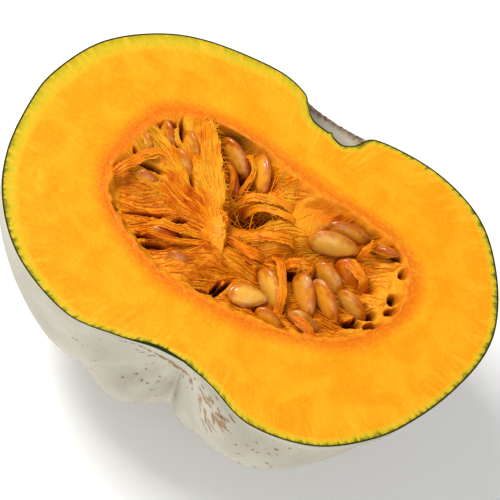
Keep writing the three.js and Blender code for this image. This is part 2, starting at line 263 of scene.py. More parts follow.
class Bench:
    """A material's node tree, with short ways to add what the finishes use."""

    def __init__(self, name: str) -> None:
        """Starts a material with one glossy surface shader.

        Args:
            name: The material's name.
        """
        self.material = bpy.data.materials.new(name)
        self.material.use_nodes = True
        self.nodes = self.material.node_tree.nodes
        self.links = self.material.node_tree.links
        self.surface = self.nodes["Principled BSDF"]
        self.place = self.nodes.new("ShaderNodeTexCoord").outputs["Object"]

    def put(self, socket: Socket, value: Any) -> None:
        """Links a socket to another one, or sets its value."""
        if isinstance(value, bpy.types.NodeSocket):
            self.links.new(value, socket)
        elif isinstance(value, tuple) and len(value) == 3 and socket.type == "RGBA":
            socket.default_value = (*value, 1.0)
        else:
            socket.default_value = value

    def shade(self, **inputs: Any) -> None:
        """Sets inputs of the surface shader, by name with underscores for spaces."""
        for name, value in inputs.items():
            self.put(self.surface.inputs[name.replace("_", " ")], value)

    def value(self, name: str) -> Socket:
        """A number stored on the mesh."""
        node = self.nodes.new("ShaderNodeAttribute")
        node.attribute_name = name
        return node.outputs["Fac"]

    def stretched(self, *scale: float) -> Socket:
        """The place on the piece, scaled along each axis."""
        node = self.nodes.new("ShaderNodeMapping")
        self.put(node.inputs["Vector"], self.place)
        self.put(node.inputs["Scale"], scale)
        return node.outputs["Vector"]

    def speckle(
        self, scale: float, detail: float = 3.0, vector: Socket | None = None, twist: float = 0.0
    ) -> Socket:
        """Smooth noise from 0 to 1.

        Args:
            scale: Lumps to a metre.
            detail: How many finer layers it has.
            vector: Where it is read, the place on the piece if left out.
            twist: How much it is distorted.

        Returns:
            The noise's value.
        """
        node = self.nodes.new("ShaderNodeTexNoise")
        self.put(node.inputs["Vector"], vector or self.place)
        self.put(node.inputs["Scale"], scale)
        self.put(node.inputs["Detail"], detail)
        self.put(node.inputs["Distortion"], twist)
        return node.outputs["Fac"]

    def cells(self, scale: float) -> Socket:
        """The distance to the middle of the nearest cell."""
        node = self.nodes.new("ShaderNodeTexVoronoi")
        self.put(node.inputs["Vector"], self.place)
        self.put(node.inputs["Scale"], scale)
        return node.outputs["Distance"]

    def sums(self, operation: str, first: Any, second: Any = 0.0) -> Socket:
        """Arithmetic on two numbers."""
        node = self.nodes.new("ShaderNodeMath")
        node.operation = operation
        self.put(node.inputs[0], first)
        self.put(node.inputs[1], second)
        return node.outputs["Value"]

    def plus(self, first: Any, second: Any) -> Socket:
        """Two numbers added."""
        return self.sums("ADD", first, second)

    def times(self, first: Any, second: Any) -> Socket:
        """Two numbers multiplied."""
        return self.sums("MULTIPLY", first, second)

    def swing(self, value: Socket, gain: float, middle: float = 0.5) -> Socket:
        """How far a number lies from its middle, times a gain."""
        return self.times(self.sums("SUBTRACT", value, middle), gain)

    def window(self, value: Socket, low: float, high: float) -> Socket:
        """A smooth step from 0 at low to 1 at high."""
        node = self.nodes.new("ShaderNodeMapRange")
        node.interpolation_type = "SMOOTHSTEP"
        self.put(node.inputs["Value"], value)
        self.put(node.inputs["From Min"], low)
        self.put(node.inputs["From Max"], high)
        return node.outputs["Result"]

    def ramp(self, value: Socket, stops: Sequence[tuple[float, Colour]]) -> Socket:
        """Colours along a number, from stops given as (place, colour)."""
        node = self.nodes.new("ShaderNodeValToRGB")
        self.put(node.inputs["Fac"], value)
        marks = node.color_ramp.elements
        while len(marks) < len(stops):
            marks.new(1.0)
        for mark, (place, colour) in zip(marks, stops):
            mark.position = place
            mark.color = (*colour, 1.0)
        return node.outputs["Color"]

    def blend(self, share: Any, first: Any, second: Any) -> Socket:
        """Two colours mixed by a share."""
        node = self.nodes.new("ShaderNodeMix")
        node.data_type = "RGBA"
        self.put(node.inputs["Factor"], share)
        self.put(node.inputs["A"], first)
        self.put(node.inputs["B"], second)
        return node.outputs["Result"]

    def raised(self, height: Socket, depth_mm: float, over: Socket | None = None) -> Socket:
        """A bump of a real depth, on top of another one if given."""
        node = self.nodes.new("ShaderNodeBump")
        self.put(node.inputs["Height"], height)
        self.put(node.inputs["Distance"], depth_mm * MM)
        if over is not None:
            self.put(node.inputs["Normal"], over)
        return node.outputs["Normal"]


@dataclass(frozen=True)
class SkinFinish:
    """The dull grey-white rind, with a corky ring where the stem came off."""

    pale: Colour = seen(208, 201, 181)
    dusky: Colour = seen(189, 182, 162)
    cork: Colour = seen(176, 134, 96)
    cork_dark: Colour = seen(96, 66, 44)
    scar: Colour = seen(158, 149, 132)
    bloom: Colour = seen(216, 213, 204)

    def material(self) -> Material:
        """Builds the skin's material."""
        bench = Bench("skin")
        cloud = bench.speckle(34.0, detail=4.0)
        colour = bench.ramp(cloud, [(0.32, self.dusky), (0.62, self.pale)])
        dust = bench.window(bench.speckle(950.0, detail=2.0), low=0.35, high=0.75)
        colour = bench.blend(bench.times(dust, 0.22), colour, self.bloom)
        colour = bench.blend(bench.value("socket"), colour, self.scar)
        scab = bench.cells(520.0)
        crust = bench.ramp(scab, [(0.15, self.cork), (0.6, self.cork_dark)])
        colour = bench.blend(bench.value("cork"), colour, crust)
        soft = bench.raised(bench.speckle(150.0), depth_mm=0.5)
        pores = bench.raised(bench.speckle(1400.0, detail=2.0), depth_mm=0.05, over=soft)
        bench.shade(Base_Color=colour, Roughness=0.55, Normal=pores, Specular_IOR_Level=0.35)
        bench.shade(Subsurface_Weight=0.05, Subsurface_Radius=(0.002, 0.0016, 0.001))
        return bench.material


@dataclass(frozen=True)
class FleshFinish:
    """The cut flesh: a dark line at the skin, a green band, then orange that deepens to the hollow."""

    line: Colour = seen(34, 46, 12)
    under: Colour = seen(74, 92, 10)
    green: Colour = seen(184, 168, 10)
    lime: Colour = seen(214, 188, 36)
    warm: Colour = seen(232, 182, 28)
    yellow: Colour = seen(255, 172, 20)
    orange: Colour = seen(255, 156, 8)
    deep: Colour = seen(234, 114, 8)
    pale: Colour = seen(255, 190, 48)

    def material(self) -> Material:
        """Builds the flesh's material."""
        bench = Bench("flesh")
        rim = bench.value("rim")
        band = bench.value("band")
        core = bench.value("core")
        spokes = bench.nodes.new("ShaderNodeAttribute")
        spokes.attribute_name = "spoke"
        teeth = bench.speckle(1.0, vector=spokes.outputs["Vector"])
        mottle = bench.speckle(620.0)
        ragged = bench.plus(bench.plus(band, bench.swing(teeth, 0.3)), bench.swing(mottle, 0.35))
        edge = bench.ramp(
            ragged, [(0.0, self.green), (0.4, self.lime), (0.8, self.warm), (1.0, self.yellow)]
        )
        depth = bench.plus(rim, bench.swing(teeth, 8.0, middle=0.42))
        # Dark green of the rind under the skin, deepened with painted shade: most on the lower edges,
        # least at the lit upper left.
        verdant_shade = bench.times(bench.window(depth, low=2.6, high=0.4), bench.value("shaded_verdure"))
        edge = bench.blend(verdant_shade, edge, self.under)
        cloud = bench.speckle(70.0, detail=4.0, twist=0.6)
        body = bench.blend(bench.window(cloud, low=0.36, high=0.66), self.orange, self.yellow)
        inner = bench.plus(core, bench.swing(mottle, 5.0))
        body = bench.blend(bench.window(inner, low=9.0, high=0.0), body, self.deep)
        colour = bench.blend(bench.window(ragged, low=0.7, high=1.1), edge, body)
        colour, bumps = self.felt(bench, colour)
        streak = bench.times(
            bench.window(teeth, low=0.48, high=0.66), bench.window(rim, low=20.0, high=3.0)
        )
        colour = bench.blend(bench.times(streak, 0.45), colour, self.pale)
        colour = bench.blend(bench.window(rim, low=0.95, high=0.4), colour, self.line)
        bumps = bench.raised(teeth, depth_mm=0.10, over=bumps)
        bench.shade(Base_Color=colour, Normal=bumps, Roughness=0.5, Specular_IOR_Level=0.08)
        bench.shade(Subsurface_Weight=0.08, Subsurface_Radius=(0.004, 0.0012, 0.0002))
        return bench.material

    def felt(self, bench: Bench, colour: Socket) -> tuple[Socket, Socket]:
        """Lays the pale felted fibres of cut flesh over a colour.

        Args:
            bench: The material's bench.
            colour: The colour under the fibres.

        Returns:
            The new colour and the fibres' bump.
        """
        hairs = bench.speckle(230.0, detail=4.0, vector=bench.stretched(0.55, 1.0, 1.0), twist=2.2)
        ridge = bench.sums("ABSOLUTE", bench.sums("SUBTRACT", hairs, 0.5))
        hair = bench.window(ridge, low=0.024, high=0.0)
        colour = bench.blend(bench.times(hair, 0.4), colour, self.pale)
        fine = bench.speckle(1700.0, detail=2.0, vector=bench.stretched(0.7, 1.0, 1.0), twist=0.8)
        glints = bench.window(fine, low=0.5, high=0.8)
        colour = bench.blend(bench.times(glints, 0.4), colour, self.pale)
        bumps = bench.raised(hair, depth_mm=0.05)
        bumps = bench.raised(fine, depth_mm=0.05, over=bumps)
        return colour, bench.raised(bench.speckle(620.0), depth_mm=0.2, over=bumps)


@dataclass(frozen=True)
class PulpFinish:
    """Wet orange pulp, like flesh at its edge; painted shade makes it lighter on its fibres, red-brown in
    furrows, dark in holes.
    """

    bright: Colour = seen(255, 164, 30)
    orange: Colour = seen(252, 140, 8)
    red: Colour = seen(230, 106, 4)
    dark: Colour = seen(142, 54, 4)
    # hole: the colour of painted shade in holes and deep places.
    hole: Colour = seen(84, 28, 4)

    def material(self) -> Material:
        """Builds the pulp's material."""
        bench = Bench("pulp")
        mottle = bench.speckle(240.0, detail=4.0)
        # Relief carries painted shade: furrows and low places take the dark and red stops, raised fibres
        # the bright ones.
        lift = bench.plus(bench.value("relief"), bench.swing(mottle, 0.6))
        colour = bench.ramp(
            lift, [(0.02, self.dark), (0.26, self.red), (0.54, self.orange), (0.92, self.bright)]
        )
        # Painted shade: deep places, holes, the gap at the flesh's edge and the gaps beside seeds go
        # towards the hole colour.
        colour = bench.blend(bench.value("deep"), colour, self.hole)
        colour = bench.blend(bench.value("skirt"), colour, FleshFinish().deep)
        colour, bumps = FleshFinish().felt(bench, colour)
        bench.shade(Base_Color=colour, Normal=bumps, Roughness=0.4, Specular_IOR_Level=0.1)
        bench.shade(Subsurface_Weight=0.06, Subsurface_Radius=(0.003, 0.0009, 0.0002))
        bench.shade(Coat_Weight=0.05)
        return bench.material


@dataclass(frozen=True)
class FibreFinish:
    """Single fibres, translucent orange."""

    light: Colour = seen(255, 178, 36)
    orange: Colour = seen(252, 148, 12)
    red: Colour = seen(238, 118, 5)
    dark: Colour = seen(204, 82, 4)

    def material(self) -> Material:
        """Builds the fibres' material."""
        bench = Bench("fibre")
        # The fibres' tone follows the pulp's brightness, painted shade at the fan's heart included.
        shift = bench.swing(bench.value("tone"), 0.55, middle=0.64)
        tone = bench.plus(bench.speckle(170.0), shift)
        colour = bench.ramp(
            tone, [(0.18, self.dark), (0.34, self.red), (0.5, self.orange), (0.7, self.light)]
        )
        threads = bench.raised(bench.speckle(1500.0, detail=2.0), depth_mm=0.1)
        bench.shade(Base_Color=colour, Normal=threads, Roughness=0.38, Specular_IOR_Level=0.09)
        bench.shade(Subsurface_Weight=0.1, Subsurface_Radius=(0.002, 0.0007, 0.0001))
        return bench.material


class Coat(Enum):
    """How a seed's coat looks, as (middle, margin) colours."""

    CREAM = (seen(246, 180, 62), seen(208, 112, 8))
    TAN = (seen(236, 154, 36), seen(190, 90, 4))
    GOLDEN = (seen(242, 158, 30), seen(200, 100, 6))
    FILMED = (seen(232, 122, 14), seen(198, 84, 4))


@dataclass(frozen=True)
class SeedFinish:
    """A wet seed coat, darker at the margin: partly its own colour, partly painted shade where its edge
    meets the pulp.
    """

    coat: Coat
    sheen: Colour = seen(254, 222, 150)

    def material(self) -> Material:
        """Builds the material of one kind of seed coat."""
        middle, margin = self.coat.value
        bench = Bench(f"seed_{self.coat.name.lower()}")
        stain = bench.speckle(330.0, detail=4.0)
        # The darker margin is partly the coat's own colour, partly painted shade where its edge meets the
        # pulp.
        edge = bench.plus(bench.value("margin"), bench.sums("SUBTRACT", stain, 0.5))
        colour = bench.blend(bench.window(edge, low=0.45, high=1.05), middle, margin)
        pale = bench.window(bench.speckle(160.0, detail=2.0), low=0.52, high=0.72)
        colour = bench.blend(bench.times(pale, 0.3), colour, self.sheen)
        wrinkle = bench.speckle(620.0, vector=bench.stretched(1.0, 1.0, 0.4))
        bench.shade(Base_Color=colour, Normal=bench.raised(wrinkle, depth_mm=0.16), Roughness=0.3)
        bench.shade(Subsurface_Weight=0.15, Subsurface_Radius=(0.003, 0.0016, 0.0006))
        bench.shade(Specular_IOR_Level=0.2, Coat_Weight=0.35, Coat_Roughness=0.07)
        return bench.material


@dataclass(frozen=True)
class CorkFinish:
    """Corky tan flecks on the skin, with brown painted shade round their edges."""

    tan: Colour = seen(196, 152, 108)
    brown: Colour = seen(92, 62, 40)

    def material(self) -> Material:
        """Builds the flecks' material."""
        bench = Bench("cork")
        stain = bench.speckle(700.0)
        edge = bench.plus(bench.value("margin"), bench.sums("SUBTRACT", stain, 0.5))
        # Brown at the edges is painted shade round each raised fleck.
        colour = bench.blend(bench.window(edge, low=0.4, high=1.2), self.tan, self.brown)
        bench.shade(Base_Color=colour, Normal=bench.raised(stain, depth_mm=0.2), Roughness=0.8)
        return bench.material


@dataclass(frozen=True)
class FloorFinish:
    """The plain pale floor."""

    colour: Colour = srgb(247, 247, 246)
    shade: Colour = srgb(240, 240, 240)

    def material(self) -> Material:
        """Builds the floor's material."""
        bench = Bench("floor")
        haze = bench.speckle(3.0, detail=2.0)
        colour = bench.blend(bench.times(haze, 0.1), self.colour, self.shade)
        bench.shade(Base_Color=colour, Roughness=0.7)
        return bench.material


# Shapes of the fruit


@dataclass(frozen=True)
class Rib:
    """A swell or groove that runs from end to end of the skin, turn in degrees from straight down."""

    turn: float
    height: float
    spread: float


@dataclass(frozen=True)
class Bell:
    """A smooth mound or dip, turned by heading degrees."""

    x: float
    y: float
    along: float
    across: float
    height: float
    heading: float = 0.0

    def at(self, x: float, y: float) -> float:
        """Its height at a place."""
        return self.height * math.exp(-self.spread(x, y))

    def pit(self, x: float, y: float) -> float:
        """How far inside its steep sides a place lies, from 0 to 1."""
        return math.exp(-self.spread(x, y) ** 2)

    def spread(self, x: float, y: float) -> float:
        """The squared distance from its middle, 1 at its reach."""
        turn = math.radians(self.heading)
        dx, dy = x - self.x, y - self.y
        along = dx * math.cos(turn) + dy * math.sin(turn)
        across = dy * math.cos(turn) - dx * math.sin(turn)
        return (along / self.along) ** 2 + (across / self.across) ** 2


class FruitShape:
    """The skin of the whole fruit as a formula."""

    LEFT = Spline([
        (0, 59.5), (9, 60.5), (14, 65), (18.5, 69.5), (33, 71.5), (61, 65.5), (80.5, 55), (97, 37),
        (105, 14), (105.5, -4), (101, -28), (90, -48), (72, -63.5), (47, -71.5), (27, -68),
        (12, -63.5), (0, -62),
    ])
    RIGHT = Spline([
        (0, 59.5), (6, 58), (11, 61.5), (17, 69), (40, 72), (60, 68.5), (75, 60), (88, 44),
        (96, 27), (98, 12), (95, -6), (88, -26), (77, -45), (58, -62), (33, -69), (13, -64),
        (0, -62),
    ])
    RIBS = (
        Rib(-62, -2.0, 20), Rib(-31, -5.5, 10), Rib(3, -13.0, 12), Rib(21, -5.0, 10),
        Rib(51, 4.5, 11), Rib(76, -6.0, 11), Rib(4, -3.6, 3.2),
    )
    RIB_AT_EQUATOR = 0.22
    RIB_AT_STEM = 0.45
    RIB_FADE = 16.0
    RIB_STARTS = (0.1, 0.26)
    RIB_ENDS = (0.0, 0.14)
    SHOULDER_LIFT = 9.0
    SHOULDER_AT = (0.11, 0.07)
    SHOULDER_ROUNDNESS = 1.2
    REST_DEPTH = 98.5
    SOCKET_RIM = (0.05, 0.069)
    SOCKET_RIM_ROUNDNESS = 0.7
    SLOPE_STEPS = (0.01, 0.004)

    @classmethod
    @lru_cache(maxsize=4096)
    def meridians(cls, share: float) -> tuple[Vector, Vector, Vector, Vector]:
        """Left and right meridian points and directions at a share from stem to blossom end."""
        left, right = cls.LEFT, cls.RIGHT
        return left.at(share), right.at(share), left.tangent(share), right.tangent(share)

    @classmethod
    def rib_height(cls, turn: float, share: float) -> float:
        """How far the skin stands out at one place."""
        degrees = math.degrees(turn)
        most = cls.RIB_AT_STEM if share < 0.5 else 1.0
        ends = between(cls.RIB_AT_EQUATOR, most, math.cos(math.pi * share) ** 2)
        poles = rise(share, *cls.RIB_STARTS) * rise(1.0 - share, *cls.RIB_ENDS)
        cut = rise(90.0 - abs(degrees), 0.0, cls.RIB_FADE)
        height = sum(rib.height * hump(degrees, rib.turn, rib.spread) for rib in cls.RIBS)
        return height * ends * poles * cut

    @classmethod
    def skin(cls, turn: float, share: float) -> Vector:
        """A point of the skin.

        Args:
            turn: The angle round the axis in radians, from straight down, negative to the left.
            share: From 0 at the stem to 1 at the blossom end.

        Returns:
            The point in mm, from the axis on the cut face.
        """
        share = round(min(1.0, max(0.0, share)), 4)
        left, right, left_run, right_run = cls.meridians(share)
        way = (1.0 + math.sin(turn)) / 2.0
        spot = left.lerp(right, way)
        run = left_run.lerp(right_run, way).normalized()
        swell = cls.rib_height(turn, share)
        ring = hump(share, *cls.SHOULDER_AT)
        lift = cls.SHOULDER_LIFT * ring * max(0.0, math.cos(turn)) ** cls.SHOULDER_ROUNDNESS
        reach = max(0.0, spot.x - run.y * swell)
        depth = min(cls.REST_DEPTH, reach * math.cos(turn))
        return Vector((reach * math.sin(turn), spot.y + run.x * swell + lift, -depth))

    @classmethod
    def socket_rim(cls, turn: float) -> float:
        """The share at which the corky rim of the stem socket lies: least at the cut face."""
        return between(*cls.SOCKET_RIM, max(0.0, math.cos(turn)) ** cls.SOCKET_RIM_ROUNDNESS)

    @classmethod
    def outward(cls, turn: float, share: float) -> Vector:
        """The skin's outward direction at a place."""
        side, step = cls.SLOPE_STEPS
        round_it = cls.skin(turn + side, share) - cls.skin(turn - side, share)
        along_it = cls.skin(turn, share + step) - cls.skin(turn, share - step)
        return along_it.cross(round_it).normalized() * -1.0


class HollowShape:
    """The seed hollow as a formula."""

    EDGE = Spline([
        (60, 5), (57, 23), (48, 32), (30, 35), (5, 34), (-20, 37), (-42, 35), (-59, 27),
        (-65, 10), (-65, -10), (-56, -23), (-33, -34), (-9, -35), (20, -30), (46, -18),
    ], closed=True)
    MIDDLE = Vector((-3.0, 1.0))
    DEPTH = 50.0

    def __init__(self) -> None:
        """Lists the edge's distance from the middle by its angle."""
        polar = []
        for sample in self.EDGE.samples[:-1]:
            out = sample - self.MIDDLE
            polar.append((math.atan2(out.y, out.x), out.length))
        polar.sort()
        first, last = polar[0], polar[-1]
        self.angles = [last[0] - math.tau] + [angle for angle, _ in polar] + [first[0] + math.tau]
        self.reaches = [last[1]] + [reach for _, reach in polar] + [first[1]]

    def reach(self, angle: float) -> float:
        """The distance from the middle to the edge, in a direction."""
        index = min(max(1, bisect_left(self.angles, angle)), len(self.angles) - 1)
        start, end = self.angles[index - 1], self.angles[index]
        way = (angle - start) / (end - start) if end > start else 0.0
        return between(self.reaches[index - 1], self.reaches[index], way)

    def inset(self, x: float, y: float) -> float:
        """About how many mm a place lies inside the edge, negative outside it."""
        dx, dy = x - self.MIDDLE.x, y - self.MIDDLE.y
        return self.reach(math.atan2(dy, dx)) - math.hypot(dx, dy)


HOLLOW = HollowShape()


# Fruit wall


@dataclass
class FruitWall:
    """Rind and flesh, grown as one piece: the skin, the cut face and the wall of the hollow."""

    steps_round: int = 320
    steps_along: int = 236
    face_rings: int = 46
    face_ring_growth: float = 1.15
    hollow_rings: int = 12
    hollow_share: float = 0.96
    hollow_fray: float = 0.7
    skin_ripple: float = 0.25
    skin_ripple_length: float = 14.0
    pole_fade: Point2 = (0.46, 0.5)
    socket_fade: Point2 = (-0.03, 0.005)
    crust_width: float = 0.0075
    crust_height: Point2 = (0.5, 0.7)
    crust_length: float = 1.7
    crust_stain: Point2 = (1.4, 0.8)
    crust_stain_length: float = 2.3
    rim_round: Point2 = (0.25, 0.9)
    hollow_round: Point2 = (0.6, 0.8)
    flat_at_rim: float = 3.0
    dark_line: float = 0.4
    band_width: float = 3.2
    band_wider_left: float = 5.0
    band_left: float = math.radians(158)
    band_narrower_stem: float = 1.2
    band_stem: Point2 = (math.radians(88), 0.25)
    band_wave: float = 0.9
    # Dark green at the rim with painted shade: most and least strength, the angle of the lit side, and its
    # fade.
    shaded_verdure: Point2 = (0.9, 0.12)
    verdure_lit_side: float = math.radians(140)
    shaded_verdure_fade: Point2 = (0.35, 0.8)
    spokes: float = 46.0
    spoke_stretch: float = 0.12
    far_from_rim: float = 40.0
    past_band: float = 9.0
    gouge: Bell = Bell(53.0, -25.0, 5.5, 1.3, -0.9, 17.0)
    scuff: Bell = Bell(-82.0, -31.0, 13.0, 8.0, 0.55, -20.0)
    gouge_burr: Point2 = (0.4, 1.9)
    bruise: Bell = Bell(-9.5, -66.0, 8.0, 6.0, 1.7)

    def build(self) -> None:
        """Models the wall and dresses it."""
        bm = bmesh.new()
        names = ("rim", "band", "shaded_verdure", "core", "cork", "socket")
        layers = {name: bm.verts.layers.float.new(name) for name in names}
        layers["spoke"] = bm.verts.layers.float_vector.new("spoke")
        self._skin(bm, layers)
        skin = set(bm.faces)
        self._cut_face(bm, layers)
        for face in bm.faces:
            face.material_index = 0 if face in skin else 1
        bmesh.ops.recalc_face_normals(bm, faces=bm.faces)
        for vert in bm.verts:
            vert.co = placed(*vert.co)
        finishes = [SkinFinish().material(), FleshFinish().material()]
        settled(finished("fruit_wall_visual", bm, finishes), FLESH_SLOT, "fruit_wall")

    def _skin(self, bm: Mesh, layers: Layers) -> None:
        """Shapes the lower half of a ball into the skin."""
        bmesh.ops.create_uvsphere(
            bm, u_segments=self.steps_round, v_segments=self.steps_along, radius=1.0
        )
        upright = Matrix.Rotation(-math.pi / 2, 3, "X")
        bmesh.ops.rotate(bm, verts=bm.verts, cent=(0, 0, 0), matrix=upright)
        whole = bm.verts[:] + bm.edges[:] + bm.faces[:]
        bmesh.ops.bisect_plane(
            bm, geom=whole, dist=1e-5, plane_co=(0, 0, 0), plane_no=(0, 0, 1), clear_outer=True
        )
        for vert in bm.verts:
            share = math.acos(min(1.0, max(-1.0, vert.co.y))) / math.pi
            turn = math.atan2(vert.co.x, -vert.co.z)
            on_cut = abs(vert.co.z) < 1e-6
            spot = FruitShape.skin(turn, share)
            rim = FruitShape.socket_rim(turn)
            ring = hump(share, rim, self.crust_width)
            ripple = grain(*(spot / self.skin_ripple_length)) * self.skin_ripple
            crust = ring * self._uneven(spot, self.crust_height, self.crust_length)
            fade = 1.0 - rise(abs(share - 0.5), *self.pole_fade)
            if not on_cut and spot.z > -FruitShape.REST_DEPTH + 0.01:
                spot += FruitShape.outward(turn, share) * (ripple + crust) * fade
            vert.co = spot
            vert.co.z = 0.0 if on_cut else min(vert.co.z, -1e-4)
            stain = ring * self._uneven(spot, self.crust_stain, self.crust_stain_length)
            vert[layers["socket"]] = 1.0 - rise(share - rim, *self.socket_fade)
            vert[layers["cork"]] = min(1.0, stain)

    @staticmethod
    def _uneven(spot: Vector, amount: Point2, length: float) -> float:
        """A number that wavers over the skin, given its middle, its swing and the length of its waves."""
        return amount[0] + amount[1] * grain(*(spot / length))

    def _cut_face(self, bm: Mesh, layers: Layers) -> None:
        """Draws the rim inwards, ring by ring, over the cut face and down the wall of the hollow."""
        rim_edges = [edge for edge in bm.edges if edge.is_boundary]
        rim_verts = {vert for edge in rim_edges for vert in edge.verts}
        tree = kdtree.KDTree(len(rim_verts))
        for index, vert in enumerate(rim_verts):
            tree.insert(vert.co, index)
            vert[layers["core"]] = self.far_from_rim
        tree.balance()
        ring = rim_edges
        before = 0.0
        for count in range(1, self.face_rings + 1):
            way = (count / self.face_rings) ** self.face_ring_growth
            ring = self._ring_in(bm, ring, (1.0 - way) / (1.0 - before), tree, layers)
            before = min(way, 1.0 - 1e-6)
        for count in range(1, self.hollow_rings + 1):
            ring = self._ring_down(bm, ring, count, layers)
        bmesh.ops.contextual_create(bm, geom=ring)

    def _ring_in(
        self, bm: Mesh, ring: list[Any], keep: float, tree: kdtree.KDTree, layers: Layers
    ) -> list[Any]:
        """Adds one ring of the cut face.

        Args:
            bm: The wall's mesh.
            ring: The edges of the last ring.
            keep: The share of the way to the hollow that is still left after this ring.
            tree: The points of the rim.
            layers: The mesh's layers by name.

        Returns:
            The new ring's edges.
        """
        made = bmesh.ops.extrude_edge_only(bm, edges=ring)["geom"]
        for vert in new_verts(made):
            out = vert.co.xy - HOLLOW.MIDDLE
            angle = math.atan2(out.y, out.x)
            aim = Vector((math.cos(angle), math.sin(angle)))
            edge = HOLLOW.reach(angle) + self.hollow_fray * grain(*(aim * 9), 4.0)
            reach = between(edge, out.length, keep)
            x, y = HOLLOW.MIDDLE + aim * reach
            _, _, rim = tree.find((x, y, 0.0))
            core = reach - edge
            vert.co = Vector((x, y, self._relief(x, y, rim, core)))
            vert[layers["rim"]] = rim - self.bruise.at(x, y)
            vert[layers["band"]] = max(0.0, rim - self.dark_line) / self._band_width(angle)
            vert[layers["shaded_verdure"]] = self._shaded_verdure(angle)
            vert[layers["core"]] = core
            vert[layers["cork"]] = 0.0
            vert[layers["spoke"]] = Vector((*(aim * self.spokes), rim * self.spoke_stretch))
        return new_edges(made)

    def _relief(self, x: float, y: float, rim: float, core: float) -> float:
        """How far the cut face stands above the plane of the cut.

        Args:
            x: A place on the cut face.
            y: A place on the cut face.
            rim: How far it is from the skin.
            core: How far it is from the hollow.

        Returns:
            The height in mm.
        """
        wave = rippled(CUT_WAVES, x, y)
        flakes = self.scuff.at(x, y) * (1.0 - 2.2 * abs(grain(x / 3.4, y / 5.5, 8.0)))
        burr = self.gouge.at(x - self.gouge_burr[0], y - self.gouge_burr[1])
        nick = self.gouge.at(x, y) - 0.7 * burr
        rounded = 0.0
        for inward, (drop, width) in ((rim, self.rim_round), (core, self.hollow_round)):
            rounded += drop * (1.0 - rise(inward, 0.0, width))
        return (wave + flakes + nick) * rise(rim, 0.0, self.flat_at_rim) - rounded

    def _band_width(self, angle: float) -> float:
        """The width of the green band under the skin, in mm, in a direction from the hollow's middle."""
        left = max(0.0, math.cos(angle - self.band_left)) ** 1.5
        stem = hump(angle, *self.band_stem)
        uneven = grain(3 * math.cos(angle), 3 * math.sin(angle), 1.0)
        width = self.band_width + self.band_wider_left * left
        return width - self.band_narrower_stem * stem + self.band_wave * uneven

    def _shaded_verdure(self, angle: float) -> float:
        """How dark the green under the skin is in a direction, with painted shade: little at the lit upper
        left, most below.
        """
        lit = max(0.0, math.cos(angle - self.verdure_lit_side))
        return between(*self.shaded_verdure, rise(lit, *self.shaded_verdure_fade))

    def _ring_down(self, bm: Mesh, ring: list[Any], count: int, layers: Layers) -> list[Any]:
        """Adds one ring of the hollow's wall.

        Args:
            bm: The wall's mesh.
            ring: The edges of the last ring.
            count: The new ring's number, from 1 at the top.
            layers: The mesh's layers by name.

        Returns:
            The new ring's edges.
        """
        made = bmesh.ops.extrude_edge_only(bm, edges=ring)["geom"]
        turn = math.pi / 2 * self.hollow_share / self.hollow_rings
        shrink = math.cos(count * turn) / math.cos((count - 1) * turn)
        for vert in new_verts(made):
            out = (vert.co.xy - HOLLOW.MIDDLE) * shrink
            vert.co = Vector((*(HOLLOW.MIDDLE + out), -HOLLOW.DEPTH * math.sin(count * turn)))
            vert[layers["rim"]] = self.far_from_rim
            vert[layers["band"]] = self.past_band
            vert[layers["core"]] = 0.0
        return new_edges(made)


@dataclass(frozen=True)
class FleckPatch:
    """A scatter of corky flecks, by angle round the axis and distance from the blossom end."""

    turn: float
    reach: float
    turn_spread: float
    reach_spread: float
    count: int
    length: float
    width: float


